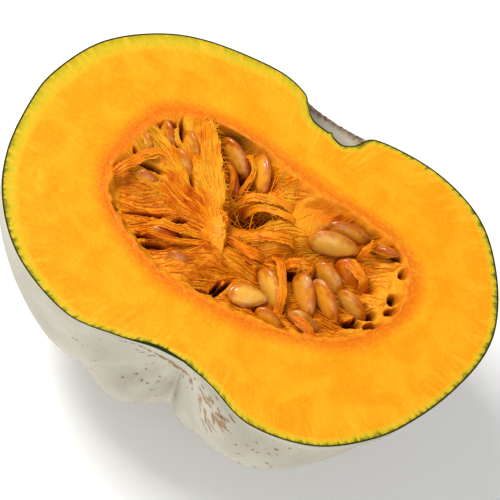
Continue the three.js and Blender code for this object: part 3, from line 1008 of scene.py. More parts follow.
@dataclass
class CorkFlecks:
    """The corky streaks and specks that gather round the blossom end."""

    patches: tuple[FleckPatch, ...] = (
        FleckPatch(57, 21, 9, 8, 30, 4.0, 0.55),
        FleckPatch(61, 31, 7, 5, 16, 5.4, 0.45),
        FleckPatch(40, 10, 20, 3, 12, 2.4, 0.7),
        FleckPatch(-45, 17, 22, 5, 9, 1.6, 1.1),
        FleckPatch(-20, 28, 18, 8, 6, 1.7, 0.9),
        FleckPatch(62, 52, 10, 12, 16, 1.9, 0.8),
        FleckPatch(10, 60, 60, 30, 34, 1.3, 0.7),
        FleckPatch(-60, 42, 18, 14, 9, 1.0, 0.6),
    )
    scar: tuple[Point2, ...] = (
        (-82, 25), (-84, 20), (-77, 16), (-68, 12), (-56, 8.5), (-36, 6), (1, 6.5), (39, 6),
    )
    scar_count: int = 90
    scar_wander: float = 0.5
    scar_length: float = 1.3
    scar_widths: Point2 = (0.4, 1.2)
    scatter: Point2 = (0.6, 0.7)
    lengths: Point2 = (0.45, 1.5)
    widths: Point2 = (0.6, 1.3)
    slant: float = 0.2
    nearest: float = 4.0
    lift: float = 0.12
    sink: float = 0.02
    clear_of_skin: float = 0.12
    clear_of_cut: Point2 = (88.5, 88.8)
    corners: int = 9
    seed: int = 12

    def build(self) -> None:
        """Models every fleck in one piece and dresses it."""
        dice = random.Random(self.seed)
        bm = bmesh.new()
        margin = bm.verts.layers.float.new("margin")
        for patch in self.patches:
            for _ in range(patch.count):
                turn = dice.gauss(patch.turn, patch.turn_spread * self.scatter[0])
                reach = dice.gauss(patch.reach, patch.reach_spread * self.scatter[1])
                reach = max(self.nearest, reach)
                length = patch.length * dice.uniform(*self.lengths)
                width = patch.width * dice.uniform(*self.widths)
                self._fleck(bm, margin, (turn, reach), (length, width), dice)
        scar = Spline(self.scar)
        for count in range(self.scar_count):
            turn, reach = scar.at(count / self.scar_count)
            reach = max(self.nearest, reach + dice.gauss(0, self.scar_wander))
            size = (self.scar_length, dice.uniform(*self.scar_widths))
            self._fleck(bm, margin, (turn, reach), size, dice)
        settled(finished("cork_flecks", bm, [CorkFinish().material()]), FLESH_SLOT)

    def _fleck(
        self, bm: Mesh, margin: Any, spot: Point2, size: Point2, dice: random.Random
    ) -> None:
        """Lays one fleck on the skin.

        Args:
            bm: The flecks' mesh.
            margin: The layer that holds how near the edge a point is.
            spot: Its angle round the axis in degrees, and its distance from the blossom end.
            size: Its length along the skin and its width.
            dice: Where its outline comes from.
        """
        made = bmesh.ops.create_circle(
            bm, cap_ends=True, cap_tris=True, segments=self.corners, radius=1.0
        )["verts"]
        length, width = size
        middle_most, edge_most = (math.radians(most) for most in self.clear_of_cut)
        heading = max(-middle_most, min(middle_most, math.radians(spot[0])))
        slant = dice.uniform(-self.slant, self.slant)
        for vert in made:
            radius = vert.co.length
            wobble = dice.uniform(*self.widths) if radius > 0.5 else 1.0
            along = spot[1] + vert.co.x * wobble * length / 2
            taper = 1.0 - 0.5 * abs(vert.co.x)
            across = (vert.co.y * wobble * taper * width + vert.co.x * slant * length) / 2
            turn = max(-edge_most, min(edge_most, heading + across / max(8.0, along)))
            share = 1.0 - along / FruitShape.LEFT.lengths[-1]
            height = (self.lift if radius < 0.5 else -self.sink) + self.clear_of_skin
            skin = FruitShape.skin(turn, share)
            vert.co = placed(*(skin + FruitShape.outward(turn, share) * height))
            vert[margin] = min(1.0, radius)


# Seeds


@dataclass(frozen=True)
class Seed:
    """One seed: its middle, heading, dip of its tip, roll on edge, size and coat."""

    x: float
    y: float
    z: float
    heading: float
    dip: float
    roll: float
    size: float
    coat: Coat = Coat.TAN


@dataclass
class Seeds:
    """The loose seeds, each a piece of its own in its CAD node's place."""

    length: float = 22.0
    width: float = 12.0
    thickness: float = 5.6
    taper_even: float = 0.26
    taper_tip: float = 0.12
    groove_depth: float = 0.16
    groove_at: Point2 = (0.8, 0.07)
    dent_depth: float = 0.22
    dents: float = 1.6
    bow: float = 0.03
    steps_round: int = 40
    steps_along: int = 28
    places: tuple[Seed, ...] = (
        Seed(25, 19, -4, 22, 4, 68, 1.0, Coat.CREAM),
        Seed(27, 27, -5, 22, 2, 70, 0.92, Coat.TAN),
        Seed(42.5, 28.5, -3, 184, 20, 65, 0.62, Coat.TAN),
        Seed(14, -12, -8, -31, 14, 72, 0.9, Coat.CREAM),
        Seed(7, -21, -5, 27, 4, 22, 0.75, Coat.CREAM),
        Seed(19.5, -23.5, -8, -5, 16, 60, 0.66, Coat.GOLDEN),
        Seed(26, -6, -8, -43, 16, 62, 0.9, Coat.TAN),
        Seed(34, -3, -7, -29, 14, 75, 0.88, Coat.GOLDEN),
        Seed(31, 7, -9, -12, 20, 60, 0.82, Coat.GOLDEN),
        Seed(44, 2, -7, -6, 30, 82, 0.78, Coat.CREAM),
        Seed(38, 14, -9, -10, 20, 60, 0.8, Coat.FILMED),
        Seed(31, -15.5, -8, 10, 24, 75, 0.7, Coat.CREAM),
        Seed(-27, 30, -8, -20, 14, 70, 0.88, Coat.TAN),
        Seed(-23.5, 21.5, -12, -38, 18, 70, 0.8, Coat.FILMED),
        Seed(-14.5, 29, -6, -53, 12, 58, 0.8, Coat.GOLDEN),
        Seed(-57.5, 8.5, -4.5, -42, 36, 80, 0.75, Coat.CREAM),
        Seed(-53, 18, -6, -43, 34, 78, 0.85, Coat.TAN),
        Seed(-42.5, 20, -5, -36, 34, 80, 0.8, Coat.CREAM),
        Seed(-41.5, 11.5, -5, -25, 34, 76, 0.8, Coat.CREAM),
        Seed(-49, -2, -6, 6, 30, 75, 0.75, Coat.TAN),
        Seed(-33, -18, -7, 20, 12, 70, 0.7, Coat.FILMED),
        Seed(-21, -24, -6, 7, 28, 70, 0.7, Coat.TAN),
    )

    def build(self) -> None:
        """Models and dresses every seed."""
        finishes = {coat: SeedFinish(coat).material() for coat in Coat}
        for number, seed in enumerate(self.places, start=1):
            piece = self._seed(f"seed_{number:02d}_visual", seed, finishes[seed.coat])
            settled(piece, SEED_SLOT, f"seed_{number:02d}")

    def _seed(self, name: str, seed: Seed, finish: Material) -> Piece:
        """Shapes one flat drop with a raised margin.

        Args:
            name: The piece's name.
            seed: Where it lies and how large it is.
            finish: Its material.

        Returns:
            The seed's object.
        """
        bm = bmesh.new()
        margin = bm.verts.layers.float.new("margin")
        bmesh.ops.create_uvsphere(
            bm, u_segments=self.steps_round, v_segments=self.steps_along, radius=1.0
        )
        lengthwise = Matrix.Rotation(math.pi / 2, 3, "Y")
        bmesh.ops.rotate(bm, verts=bm.verts, cent=(0, 0, 0), matrix=lengthwise)
        long, wide = self.length * seed.size / 2, self.width * seed.size / 2
        thin = self.thickness * math.sqrt(seed.size) / 2
        bow = math.copysign(self.bow, seed.heading + 1)
        pose = (
            Matrix.Rotation(math.radians(seed.heading), 3, "Z")
            @ Matrix.Rotation(math.radians(seed.dip), 3, "Y")
            @ Matrix.Rotation(math.radians(seed.roll), 3, "X")
        )
        for vert in bm.verts:
            x, y, z = vert.co
            flat = min(1.0, math.hypot(x, y))
            narrowing = 1.0 - self.taper_even * x - self.taper_tip * max(0.0, x) ** 3
            groove = 1.0 - self.groove_depth * hump(flat, *self.groove_at)
            worn = grain(x * self.dents, y * self.dents + seed.x, seed.y)
            dent = self.dent_depth * worn * (1.0 - flat)
            height = thin * (z * groove + bow * (1.0 - x * x)) + dent
            drop = Vector((x * long, y * wide * narrowing, height))
            vert.co = placed(*(pose @ drop + Vector((seed.x, seed.y, seed.z))))
            vert[margin] = flat
        return finished(name, bm, [finish])


# Pulp


class Room(Enum):
    """The room that the pulp leaves a seed: shares of its length and width, and the floor's height."""

    OPEN = (1.0, 1.0, -2.2)
    PEEPING = (0.6, 0.58, 2.2)
    BURIED = (0.46, 0.42, 2.8)


class PulpShape:
    """The top of the pulp as a formula."""

    HEART = Vector((-14.0, -7.0))
    LEVEL = -7.0
    FAN_LEVEL = -1.2
    HEART_DIP = (3.0, 12.0)
    HEART_SHADE = 9.0
    LIP = (1.9, 3.6)
    LIP_GLOW = 5.0
    LIP_FROM = (6.0, 16.0)
    NEST = (11.5, 4.4)
    NEST_WALL = (0.7, 2.2)
    NEST_DEPTH = 7.0
    NEST_AT_EDGE = 6.0
    NEST_SHADE = (0.6, 1.7)
    LOWER_LEFT = (0.0, -16.0)
    FAN_SLANT = 0.18
    FAN_FROM = (-16.0, -7.0)
    FAN_SIDE = (-0.2, 1.3)
    FAN_LEFT = (-62.0, -34.0)
    LUMPY_BELOW = (-18.0, -9.0)
    SPONGE_FROM = (36.0, 47.0)
    SPONGE_GLOW = (38.0, 48.0)
    SPONGE_FLOOR = (43.0, 49.0)
    SPONGE_LEVEL = -5.0
    SHEER_AT = (-30.0, 9.0)
    SHEER_FROM = (20.0, 28.0)
    SLOPES = (7.0, 2.0)
    FIBRE_RELIEF = 0.95
    LUMP_RELIEF = 0.75
    LUMPY_MOST = 0.75
    CALM_LOSS = 0.65
    # Depths below the cut, in mm, over which painted shade grows from none to full.
    SHADE_DEPTH = (9.0, 20.0)
    GLOW = {
        "base": 0.61, "fan": 0.16, "lip": 0.2, "calm": 0.36, "left": 0.34, "sponge": 0.1,
        "heart": -0.22, "ruddy": -0.62,
    }
    SWAY = (Ripple(0.16, 11, 3), Ripple(0.05, 4, 6))
    LUMPS = (Ripple(1.0, 3.2, 12), Ripple(0.6, 1.5, 15), Ripple(0.35, 0.8, 18))
    TEAR = (Ripple(2.0, 3.4, 1), Ripple(1.1, 1.2, 2))
    DRIFT = Ripple(1.2, 5, 7)
    CRUMBS = Ripple(0.3, 3.5, 66)
    EDGE_FRAY = Ripple(1.6, 4, 30)
    HOLE_FRAY = Ripple(0.5, 1.3, 33)
    FAN_WAVE = Ripple(0.5, 9, 40)
    BED_WAVES = (Ripple(0.9, 16, 42), Ripple(0.5, 6, 44))
    BED_HEADING = math.radians(28)
    RUDDY = Bell(-31.5, -3.5, 13, 6, 1.0, -22)
    TERRACE = Bell(4, 22, 17, 10, 1.0, 10)
    EAVES = Bell(21, 30.5, 14, 5, 1.0, 12)
    TORN_EDGE = (
        (-49, 36), (-36, 30.5), (-31, 26), (-29, 18.5), (-23, 10.7), (-20.5, 4), (-16, 0), (-13, -6),
    )
    MOUNDS = (
        Bell(-9.5, 12.0, 10.0, 5.4, -13, 36),
        Bell(-22, 24, 10, 7, -10),
        Bell(-15, 28, 6, 6, -4),
        Bell(-6.5, 21.5, 9.0, 4.0, 4.5, 22),
        Bell(1, 17, 11, 6, 2.5, 15),
        Bell(6, 6, 11, 3.6, 4.5, 25),
        Bell(-4, -2.5, 11, 2.6, -4, 3),
        Bell(28, 2, 21, 15, -6),
        Bell(-15, -15, 9, 7, 3.5),
        Bell(-20, -25.5, 8, 5, 4.5),
    )
    HOLES = (
        Bell(-9.5, 12.0, 9.0, 4.0, -7, 36),
        Bell(-22, 27.0, 7.0, 3.0, -6, -25),
        Bell(17.5, 0.5, 4.5, 2.4, -8, 25),
        Bell(-3, -23.5, 0.9, 4.6, -9, -14),
        Bell(-5.4, -25.0, 0.8, 3.4, -8, -8),
        Bell(-8.5, -30.0, 2.6, 1.2, -7, 20),
        Bell(-34, -24, 4.0, 1.5, -12, 24),
        Bell(-39.8, -23.0, 2.6, 1.0, -9, 20),
        Bell(-30, -15.5, 3.4, 1.5, -10, 25),
        Bell(-31, -9.5, 2.4, 0.9, -8, 25),
        Bell(-44, -14.5, 7.0, 0.8, -8, 31),
        Bell(-55, -21.0, 1.8, 0.7, -4, 25),
        Bell(-50, 23.0, 4.6, 1.1, -9, -62),
        Bell(-37, 8.0, 4.8, 0.9, -8, -50),
        Bell(-46.5, 14.5, 4.0, 0.8, -7, -40),
        Bell(-60.5, 3.5, 1.6, 0.9, -6, -45),
        Bell(-52, 1.5, 6.0, 1.5, -4, 12),
        Bell(-56, 21.5, 4.0, 1.3, -8, 40),
        Bell(0.5, -7.5, 1.6, 0.6, -6, 15),
        Bell(11.5, -7.5, 1.8, 1.3, -7, 30),
        Bell(15.0, -6.0, 1.4, 1.0, -7, 0),
        Bell(56.2, 12.8, 1.9, 2.4, -11, 10),
        Bell(58.0, 6.8, 2.1, 2.4, -12, -20),
        Bell(52.0, 2.2, 2.0, 1.8, -10, 0),
        Bell(54.6, -3.2, 3.2, 2.0, -12, 26),
        Bell(47.4, -5.2, 3.4, 2.2, -12, 24),
        Bell(54.5, 23.8, 1.3, 2.1, -9, 25),
        Bell(48.0, 29.5, 3.4, 1.1, -9, -30),
        Bell(47.6, -2.0, 1.0, 1.0, -6, 0),
    )

    def __init__(self, seeds: Sequence[Seed]) -> None:
        """Keeps the seeds that the pulp makes room for.

        Args:
            seeds: The seeds that lie in it.
        """
        self.nests = []
        for seed in seeds:
            room = self.room(seed)
            along, across, floor = room.value
            length, width = self.NEST[0] * seed.size * along, self.NEST[1] * seed.size * across
            nest = Bell(seed.x, seed.y, length, width, 1.0, seed.heading)
            self.nests.append((nest, seed.z + floor, room is not Room.OPEN))

    def room(self, seed: Seed) -> Room:
        """The room that a seed gets: less under the fan and at the lower left."""
        low = seed.x < self.LOWER_LEFT[0] and seed.y < self.LOWER_LEFT[1]
        if not low and self.fan(seed.x, seed.y) <= 0.5:
            return Room.OPEN
        return Room.PEEPING if seed.coat is Coat.CREAM else Room.BURIED

    def torn(self, x: float, y: float) -> float:
        """Signed distance from the torn edge, positive in the pocket."""
        best, side = 1e9, 1.0
        for (ax, ay), (bx, by) in zip(self.TORN_EDGE, self.TORN_EDGE[1:]):
            dx, dy = bx - ax, by - ay
            way = min(1.0, max(0.0, ((x - ax) * dx + (y - ay) * dy) / (dx * dx + dy * dy)))
            gap = math.hypot(x - ax - way * dx, y - ay - way * dy)
            if gap < best:
                best = gap
                side = 1.0 if dx * (y - ay) - dy * (x - ax) > 0 else -1.0
        return best * side

    def polar(self, x: float, y: float) -> Point2:
        """Angle in radians and distance from the heart."""
        out_x, out_y = x - self.HEART.x, y - self.HEART.y
        return math.atan2(out_y, out_x), math.hypot(out_x, out_y)

    @staticmethod
    def ridged(height: float) -> float:
        """Noise folded into sharp ridges, 1 along their tops."""
        return 1.0 - 2.0 * abs(height)

    def fanned(self, x: float, y: float) -> float:
        """The relief of fibres that run out from the heart."""
        angle, far = self.polar(x, y)
        turn = angle + rippled(self.SWAY, x, y)
        out_x, out_y = math.cos(turn), math.sin(turn)
        coarse = self.ridged(grain(12 * out_x, 12 * out_y, far / 60))
        medium = self.ridged(grain(22 * out_x, 22 * out_y, far / 26 + 9))
        fine = grain(52 * out_x, 52 * out_y, far / 12 + 21)
        near = between(0.8, 1.0, rise(far, 4.0, 16.0))
        return (0.5 * coarse + 0.35 * medium + 0.25 * fine) * near

    def loose(self, x: float, y: float) -> float:
        """The relief of fibres that lie in waves."""
        run = self.flow(x, y)
        across = y * run.x - x * run.y + self.DRIFT.at(x, y)
        along = x * run.x + y * run.y
        wavy = self.ridged(grain(across / 2.4, along / 15, 60.0))
        hairs = self.ridged(grain(across / 1.0, along / 9, 64.0))
        return 0.55 * wavy + 0.4 * hairs + self.CRUMBS.at(x, y)

    def fibres(self, x: float, y: float) -> float:
        """The relief of the fibres, from about -1 in a furrow to 1 on a ridge."""
        return between(self.loose(x, y), self.fanned(x, y), rise(self.fan(x, y), 0.2, 0.8))

    def above_edge(self, x: float, y: float) -> float:
        """How far up a place lies, measured across the slanting lower edge of the fan."""
        return y + self.FAN_SLANT * (x - self.HEART.x)

    def fan(self, x: float, y: float) -> float:
        """How much a place belongs to the fan of fibres, from 0 to 1."""
        side = self.torn(x, y) + rippled(self.TEAR, x, y)
        inside = 1.0 - rise(side, *self.FAN_SIDE)
        return inside * rise(self.above_edge(x, y), *self.FAN_FROM)

    def level(self, x: float, y: float) -> float:
        """The height of the pulp before its holes and fibres."""
        base = self.LEVEL + sum(bell.at(x, y) for bell in self.MOUNDS)
        lip_rise, lip_width = self.LIP
        dip, dip_reach = self.HEART_DIP
        _, far = self.polar(x, y)
        lip = lip_rise * hump(self.torn(x, y), 0.0, lip_width)
        fan_level = self.FAN_LEVEL + lip - dip * hump(far, 0.0, dip_reach)
        return between(base, fan_level, self.fan(x, y))

    def calm(self, x: float, y: float) -> float:
        """How smooth and fleshy a place is, from 0 to 1."""
        return max(self.TERRACE.at(x, y), self.EAVES.at(x, y))

    def hole(self, x: float, y: float) -> float:
        """How much of a hole a place is, from 0 to 1."""
        return max(bell.pit(x, y) for bell in self.HOLES)

    def sheer(self, x: float, y: float) -> float:
        """How much the pulp falls away sheer from the edge of the flesh, from 0 to 1."""
        return hump(x, *self.SHEER_AT) * rise(y, *self.SHEER_FROM)

    def rough(self, x: float, y: float) -> float:
        """How lumpy and ungrained the pulp is: most in the sponge at the right and at the lower left."""
        low = 1.0 - rise(self.above_edge(x, y), *self.LUMPY_BELOW)
        return max(rise(x, *self.SPONGE_FROM), self.LUMPY_MOST * low)

    def height(self, x: float, y: float) -> float:
        """The height of the pulp's surface, in mm above the cut face."""
        inset = HOLLOW.inset(x, y)
        steep = self.sheer(x, y)
        frayed = inset + self.EDGE_FRAY.at(x, y) * (1.0 - steep)
        edge = 1.0 - rise(frayed, 0.0, between(*self.SLOPES, steep))
        level = between(self.level(x, y), 0.0, edge)
        jitter = self.HOLE_FRAY.at(x, y)
        level += sum(bell.height * bell.pit(x + jitter, y - jitter) for bell in self.HOLES)
        filled = rise(x, *self.SPONGE_FLOOR) * (1.0 - self.hole(x, y))
        level = between(level, max(level, self.SPONGE_LEVEL), filled)
        for nest, floor, _ in self.nests:
            spread = nest.spread(x, y)
            if spread < self.NEST_WALL[1]:
                wall = self.NEST_DEPTH * rise(spread, *self.NEST_WALL)
                level = min(level, floor + wall + self.NEST_AT_EDGE * edge)
        strength = self.FIBRE_RELIEF * (1.0 - self.CALM_LOSS * self.calm(x, y))
        lumps = self.LUMP_RELIEF * rippled(self.LUMPS, x, y)
        relief = between(strength * self.fibres(x, y), lumps, self.rough(x, y))
        return level + relief * between(0.25, 1.0, rise(inset, -1.0, 4.0))

    def brightness(self, x: float, y: float) -> float:
        """How bright the pulp is before its relief: most on the torn lip and terrace, least in mid-fan,
        with painted shade at the heart.
        """
        fan = self.fan(x, y)
        _, far = self.polar(x, y)
        shares = {
            "base": 1.0,
            "fan": fan,
            "lip": fan * hump(self.torn(x, y), 0.0, self.LIP_GLOW) * rise(far, *self.LIP_FROM),
            "calm": self.calm(x, y),
            "left": fan * (1.0 - rise(x, *self.FAN_LEFT)),
            "sponge": rise(x, *self.SPONGE_GLOW),
            # Painted shade over the dip at the fan's heart.
            "heart": hump(far, 0.0, self.HEART_SHADE),
            "ruddy": fan * self.RUDDY.at(x, y),
        }
        return sum(self.GLOW[place] * share for place, share in shares.items())

    def painted_shade(self, x: float, y: float, height: float) -> float:
        """How much painted shade a place gets for lying deep, in a hole, in the sheer gap at the flesh's
        edge or beside a seed, 0 to 1.
        """
        inset = HOLLOW.inset(x, y)
        gap = 0.85 * self.sheer(x, y) * rise(inset, 0.2, 0.9) * (1.0 - rise(inset, 4.0, 9.0))
        gap *= 1.0 - self.fan(x, y)
        dark = max(rise(-height, *self.SHADE_DEPTH), 0.95 * self.hole(x, y), gap)
        for nest, _, covered in self.nests:
            most = 0.35 if covered else 0.6
            dark = max(dark, most * (1.0 - rise(nest.spread(x, y), *self.NEST_SHADE)))
        return min(1.0, dark)

    def flow(self, x: float, y: float) -> Vector:
        """The direction that fibres run in: out from the heart in the fan, in waves elsewhere."""
        angle, _ = self.polar(x, y)
        if self.fan(x, y) > 0.5:
            heading = angle + self.FAN_WAVE.at(x, y)
        else:
            heading = self.BED_HEADING + rippled(self.BED_WAVES, x, y)
        return Vector((math.cos(heading), math.sin(heading)))


@dataclass(frozen=True)
class Strap:
    """A flat bundle of fibres along a list of points, in mm. Tone is 0 for red, 1 for bright."""

    path: tuple[Point3, ...]
    width: float
    tone: float = 0.5
    curl: float = 0.35


@dataclass(frozen=True)
class Tangle:
    """Scattered fibres: how many, their lengths and radii, and how far most may stand off the surface."""

    count: int
    length: Point2
    radius: Point2
    lift: float


@dataclass
class Pulp:
    """The stringy pulp: its surface, the straps across it and the single fibres on it."""

    seeds: Seeds
    cell: float = 0.36
    overlap: float = 2.4
    fray: tuple[Ripple, ...] = (Ripple(2.2, 3, 50), Ripple(0.9, 0.9, 52))
    fan: Tangle = Tangle(1300, (6, 20), (0.08, 0.22), 0.8)
    bed: Tangle = Tangle(1450, (3, 13), (0.09, 0.21), 1.4)
    fibre_steps: int = 8
    least_points: int = 4
    scatter_x: Point2 = (-65, 60)
    scatter_y: Point2 = (-35, 37)
    pocket_fibres: int = 420
    pocket_x: Point2 = (-14, 9)
    pocket_y: Point2 = (17, 9)
    pocket_heading: Point2 = (38, 38)
    pocket_length: Point2 = (3, 12)
    pocket_sag: Point2 = (0.0, 1.8)
    pocket_radius: Point2 = (0.12, 0.34)
    lip_hairs: int = 150
    lip_root: float = 1.6
    lip_splay: float = 0.8
    lip_length: Point2 = (1.5, 4.5)
    lip_sag: Point2 = (0.1, 2.2)
    lip_radius: Point2 = (0.12, 0.24)
    strap_hairs: int = 14
    strap_hair_start: Point2 = (0.0, 0.75)
    strap_hair_length: Point2 = (0.12, 0.4)
    strap_hair_splay: float = 0.8
    strap_hair_lift: Point2 = (0.0, 0.7)
    strap_hair_radius: Point2 = (0.1, 0.24)
    strap_hair_steps: int = 6
    strap_grid: tuple[int, int] = (64, 18)
    strap_thickness: float = 0.35
    rest_gap: float = 0.1
    seed: int = 5
    straps: tuple[Strap, ...] = (
        Strap(
            ((-64, -12, -0.4), (-60, -4, 1.0), (-56, 4, 1.4), (-51, 7.5, 1.2), (-44.5, 5, -1.6)),
            5.0, 0.35,
        ),
        Strap(((7.5, 3, -2.6), (12, -4, -2.4), (17, -11, -3.2), (21, -21, -6.0)), 4.0, 0.45),
        Strap(((11, -1.5, -3.6), (18, 3.0, -2.2), (26, 6.0, -4.8)), 4.8, 0.4),
        Strap(((24, -13, -7.0), (29, -18, -3.6), (38, -22, -2.0)), 5.0, 0.2),
        Strap(((35.5, 20, -2.6), (37, 24, -0.4), (38.5, 31, -2.0)), 2.6, 0.4),
        Strap(((-7, 0.5, -5.4), (2, 5.5, -2.2), (14, 10.5, -2.8)), 4.6, 0.75),
        Strap(((-17, -9, -3.2), (-27, -13, -1.9), (-42, -18.5, -1.6)), 3.4, 0.6),
        Strap(((-15, -3, -5.2), (-5, -3.5, -6.4), (6, -1.5, -6.2)), 5.4, 0.3),
        Strap(((-31, 24, -2.5), (-24, 21, -5.0), (-20, 13, -9.0)), 2.0, 0.5),
        Strap(((-26, 33, -2.0), (-18, 27, -3.0), (-18, 17, -8.0)), 2.0, 0.6),
        Strap(((-17, 17, -9.0), (-7, 21, -5.0), (5, 23.5, -3.6)), 4.4, 0.75),
        Strap(((-13, 14, -9.5), (-4, 18, -5.6), (8, 19, -4.0)), 3.6, 0.7),
        Strap(((30, 17.5, -5.0), (38, 14.5, -3.4), (46, 10, -4.6)), 5.6, 0.35),
        Strap(((-17, -11, -3.4), (-30, -20, -2.4), (-45, -22, -1.5)), 2.6, 0.5),
    )
    shape: PulpShape = field(init=False)
    dice: random.Random = field(init=False)
    routes: list[tuple[Spline, Spline]] = field(init=False)

    def __post_init__(self) -> None:
        """Prepares the surface's formula, the dice and the routes of the straps, flat and upright."""
        self.shape = PulpShape(self.seeds.places)
        self.dice = random.Random(self.seed)
        self.routes = []
        for strap in self.straps:
            flat = Spline([point[:2] for point in strap.path])
            rises = Spline([(10 * index, point[2]) for index, point in enumerate(strap.path)])
            self.routes.append((flat, rises))

    def build(self) -> None:
        """Models the pulp's pieces and dresses them."""
        pulp = PulpFinish().material()
        fibre = FibreFinish().material()
        self._surface(pulp)
        self._straps(pulp)
        self._fibres("fan_fibres", self._fan_lines(), fibre)
        self._fibres("bed_fibres", self._bed_lines() + self._strap_lines(), fibre)
        self._fibres("pocket_fibres", self._pocket_lines(), fibre)

    def _layers(self, bm: Mesh) -> Layers:
        """Adds the numbers that the pulp's finish reads to a mesh."""
        return {name: bm.verts.layers.float.new(name) for name in ("relief", "deep", "skirt")}

    def _surface(self, finish: Material) -> None:
        """Raises a fine grid to the pulp's surface and trims it to the hollow."""
        edge = HOLLOW.EDGE.samples
        lows = [min(sample[axis] for sample in edge) - self.overlap for axis in (0, 1)]
        highs = [max(sample[axis] for sample in edge) + self.overlap for axis in (0, 1)]
        counts = [round((high - low) / self.cell) for low, high in zip(lows, highs)]
        bm = bmesh.new()
        layers = self._layers(bm)
        bmesh.ops.create_grid(bm, x_segments=counts[0], y_segments=counts[1], size=0.5)
        for vert in bm.verts:
            vert.co.x = between(lows[0], highs[0], vert.co.x + 0.5)
            vert.co.y = between(lows[1], highs[1], vert.co.y + 0.5)
        outside = [vert for vert in bm.verts if HOLLOW.inset(*vert.co.xy) < -self.overlap]
        bmesh.ops.delete(bm, geom=outside, context="VERTS")
        shape = self.shape
        for vert in bm.verts:
            x, y = vert.co.xy
            height = shape.height(x, y)
            inset = HOLLOW.inset(x, y)
            frayed = inset + rippled(self.fray, x, y)
            feather = rippled(CUT_WAVES, x, y) + between(-0.3, 0.1, rise(frayed, -2.4, -0.4))
            vert.co = placed(x, y, between(feather, height, rise(inset, 0.0, 2.0)))
            # Painted shade: fibres that stand proud and higher places get a lighter tone, low places a
            # darker one.
            proud = height - shape.level(x, y)
            tone = shape.brightness(x, y) + 0.26 * proud + 0.012 * (height + 8)
            vert[layers["relief"]] = min(1.0, max(0.0, tone))
            # deep holds painted shade for deep places, holes, the gap at the flesh's edge and beside
            # seeds.
            deep = shape.painted_shade(x, y, height)
            vert[layers["deep"]] = deep
            skirt = 1.0 - rise(frayed, -1.5, 4.0 + 7.0 * shape.fan(x, y))
            skirt = max(skirt, 0.8 * shape.EAVES.at(x, y) * (1.0 - deep))
            vert[layers["skirt"]] = skirt * (1.0 - 0.9 * shape.sheer(x, y) * rise(inset, 0.0, 0.8))
        settled(finished("pulp_surface", bm, [finish]), PULP_SLOT, "pulp")

    def _on_strap(self, strap: Strap, number: int, way: float, across: float) -> Point3:
        """A place on a strap.

        Args:
            strap: The strap.
            number: Its place in the list, which its raggedness comes from.
            way: How far along it, from 0 to 1.
            across: How far across it, from -1 to 1.

        Returns:
            The place in mm.
        """
        flat, rises = self.routes[number]
        middle, run = flat.at(way), flat.tangent(way)
        ends = math.sin(math.pi * min(1.0, max(0.0, way))) ** 0.5
        width = strap.width * (0.75 + 0.15 * ends) / 2 * (1 + 0.3 * grain(way * 5, number, 1.0))
        ragged = 1.0 + 0.3 * grain(way * 22, across * 2, number)
        ragged += 0.2 * grain(way * 60, across * 2, number)
        x = middle.x - run.y * across * width * ragged
        y = middle.y + run.x * across * width * ragged
        ribs = 0.34 * grain(across * 4.5, way * 3, number * 3.0)
        ribs += 0.16 * grain(across * 11, way * 5, 2.0)
        z = rises.at(way).y + strap.curl * (1.0 - across * across) + ribs
        sunk = 1.1 * (1.0 - rise(ends, 0.0, 0.5 + 0.3 * grain(across * 3, number, 5.0)))
        lying = self.shape.height(x, y) + self.rest_gap
        return x, y, between(lying, z, rise(ends * ends, 0.0, 0.7)) - sunk

    def _straps(self, finish: Material) -> None:
        """Models the flat bundles, ribbed along their length."""
        bm = bmesh.new()
        layers = self._layers(bm)
        along, wide = self.strap_grid
        for number, strap in enumerate(self.straps):
            made = bmesh.ops.create_grid(bm, x_segments=along, y_segments=wide, size=0.5)["verts"]
            for vert in made:
                way, across = vert.co.x + 0.5, vert.co.y * 2.0
                stripes = grain(across * 4.5, way * 3, number * 3.0)
                stripes += 0.7 * grain(across * 12, way * 5, number)
                tone = 0.2 + 0.5 * strap.tone + 0.3 * stripes
                vert[layers["relief"]] = min(1.0, max(0.0, tone))
                vert.co = placed(*self._on_strap(strap, number, way, across))
        piece = finished("pulp_straps", bm, [finish])
        sheet = piece.modifiers.new("thickness", "SOLIDIFY")
        sheet.thickness = self.strap_thickness * MM
        sheet.offset = -1.0
        settled(piece, PULP_SLOT)

    def _strap_lines(self) -> list[Fibre]:
        """Frayed fibres along the edges of the straps."""
        lines = []
        for number, strap in enumerate(self.straps):
            for _ in range(self.strap_hairs):
                start = self.dice.uniform(*self.strap_hair_start)
                reach = self.dice.uniform(*self.strap_hair_length)
                side = self.dice.uniform(-1, 1)
                splay = self.dice.uniform(-self.strap_hair_splay, self.strap_hair_splay)
                lift = self.dice.uniform(*self.strap_hair_lift)
                points = []
                for step in range(self.strap_hair_steps + 1):
                    way = step / self.strap_hair_steps
                    along, across = min(1.0, start + reach * way), side + splay * way * way
                    x, y, z = self._on_strap(strap, number, along, across)
                    points.append((x, y, z + 0.08 + lift * math.sin(math.pi * way)))
                lines.append((points, self.dice.uniform(*self.strap_hair_radius)))
        return lines

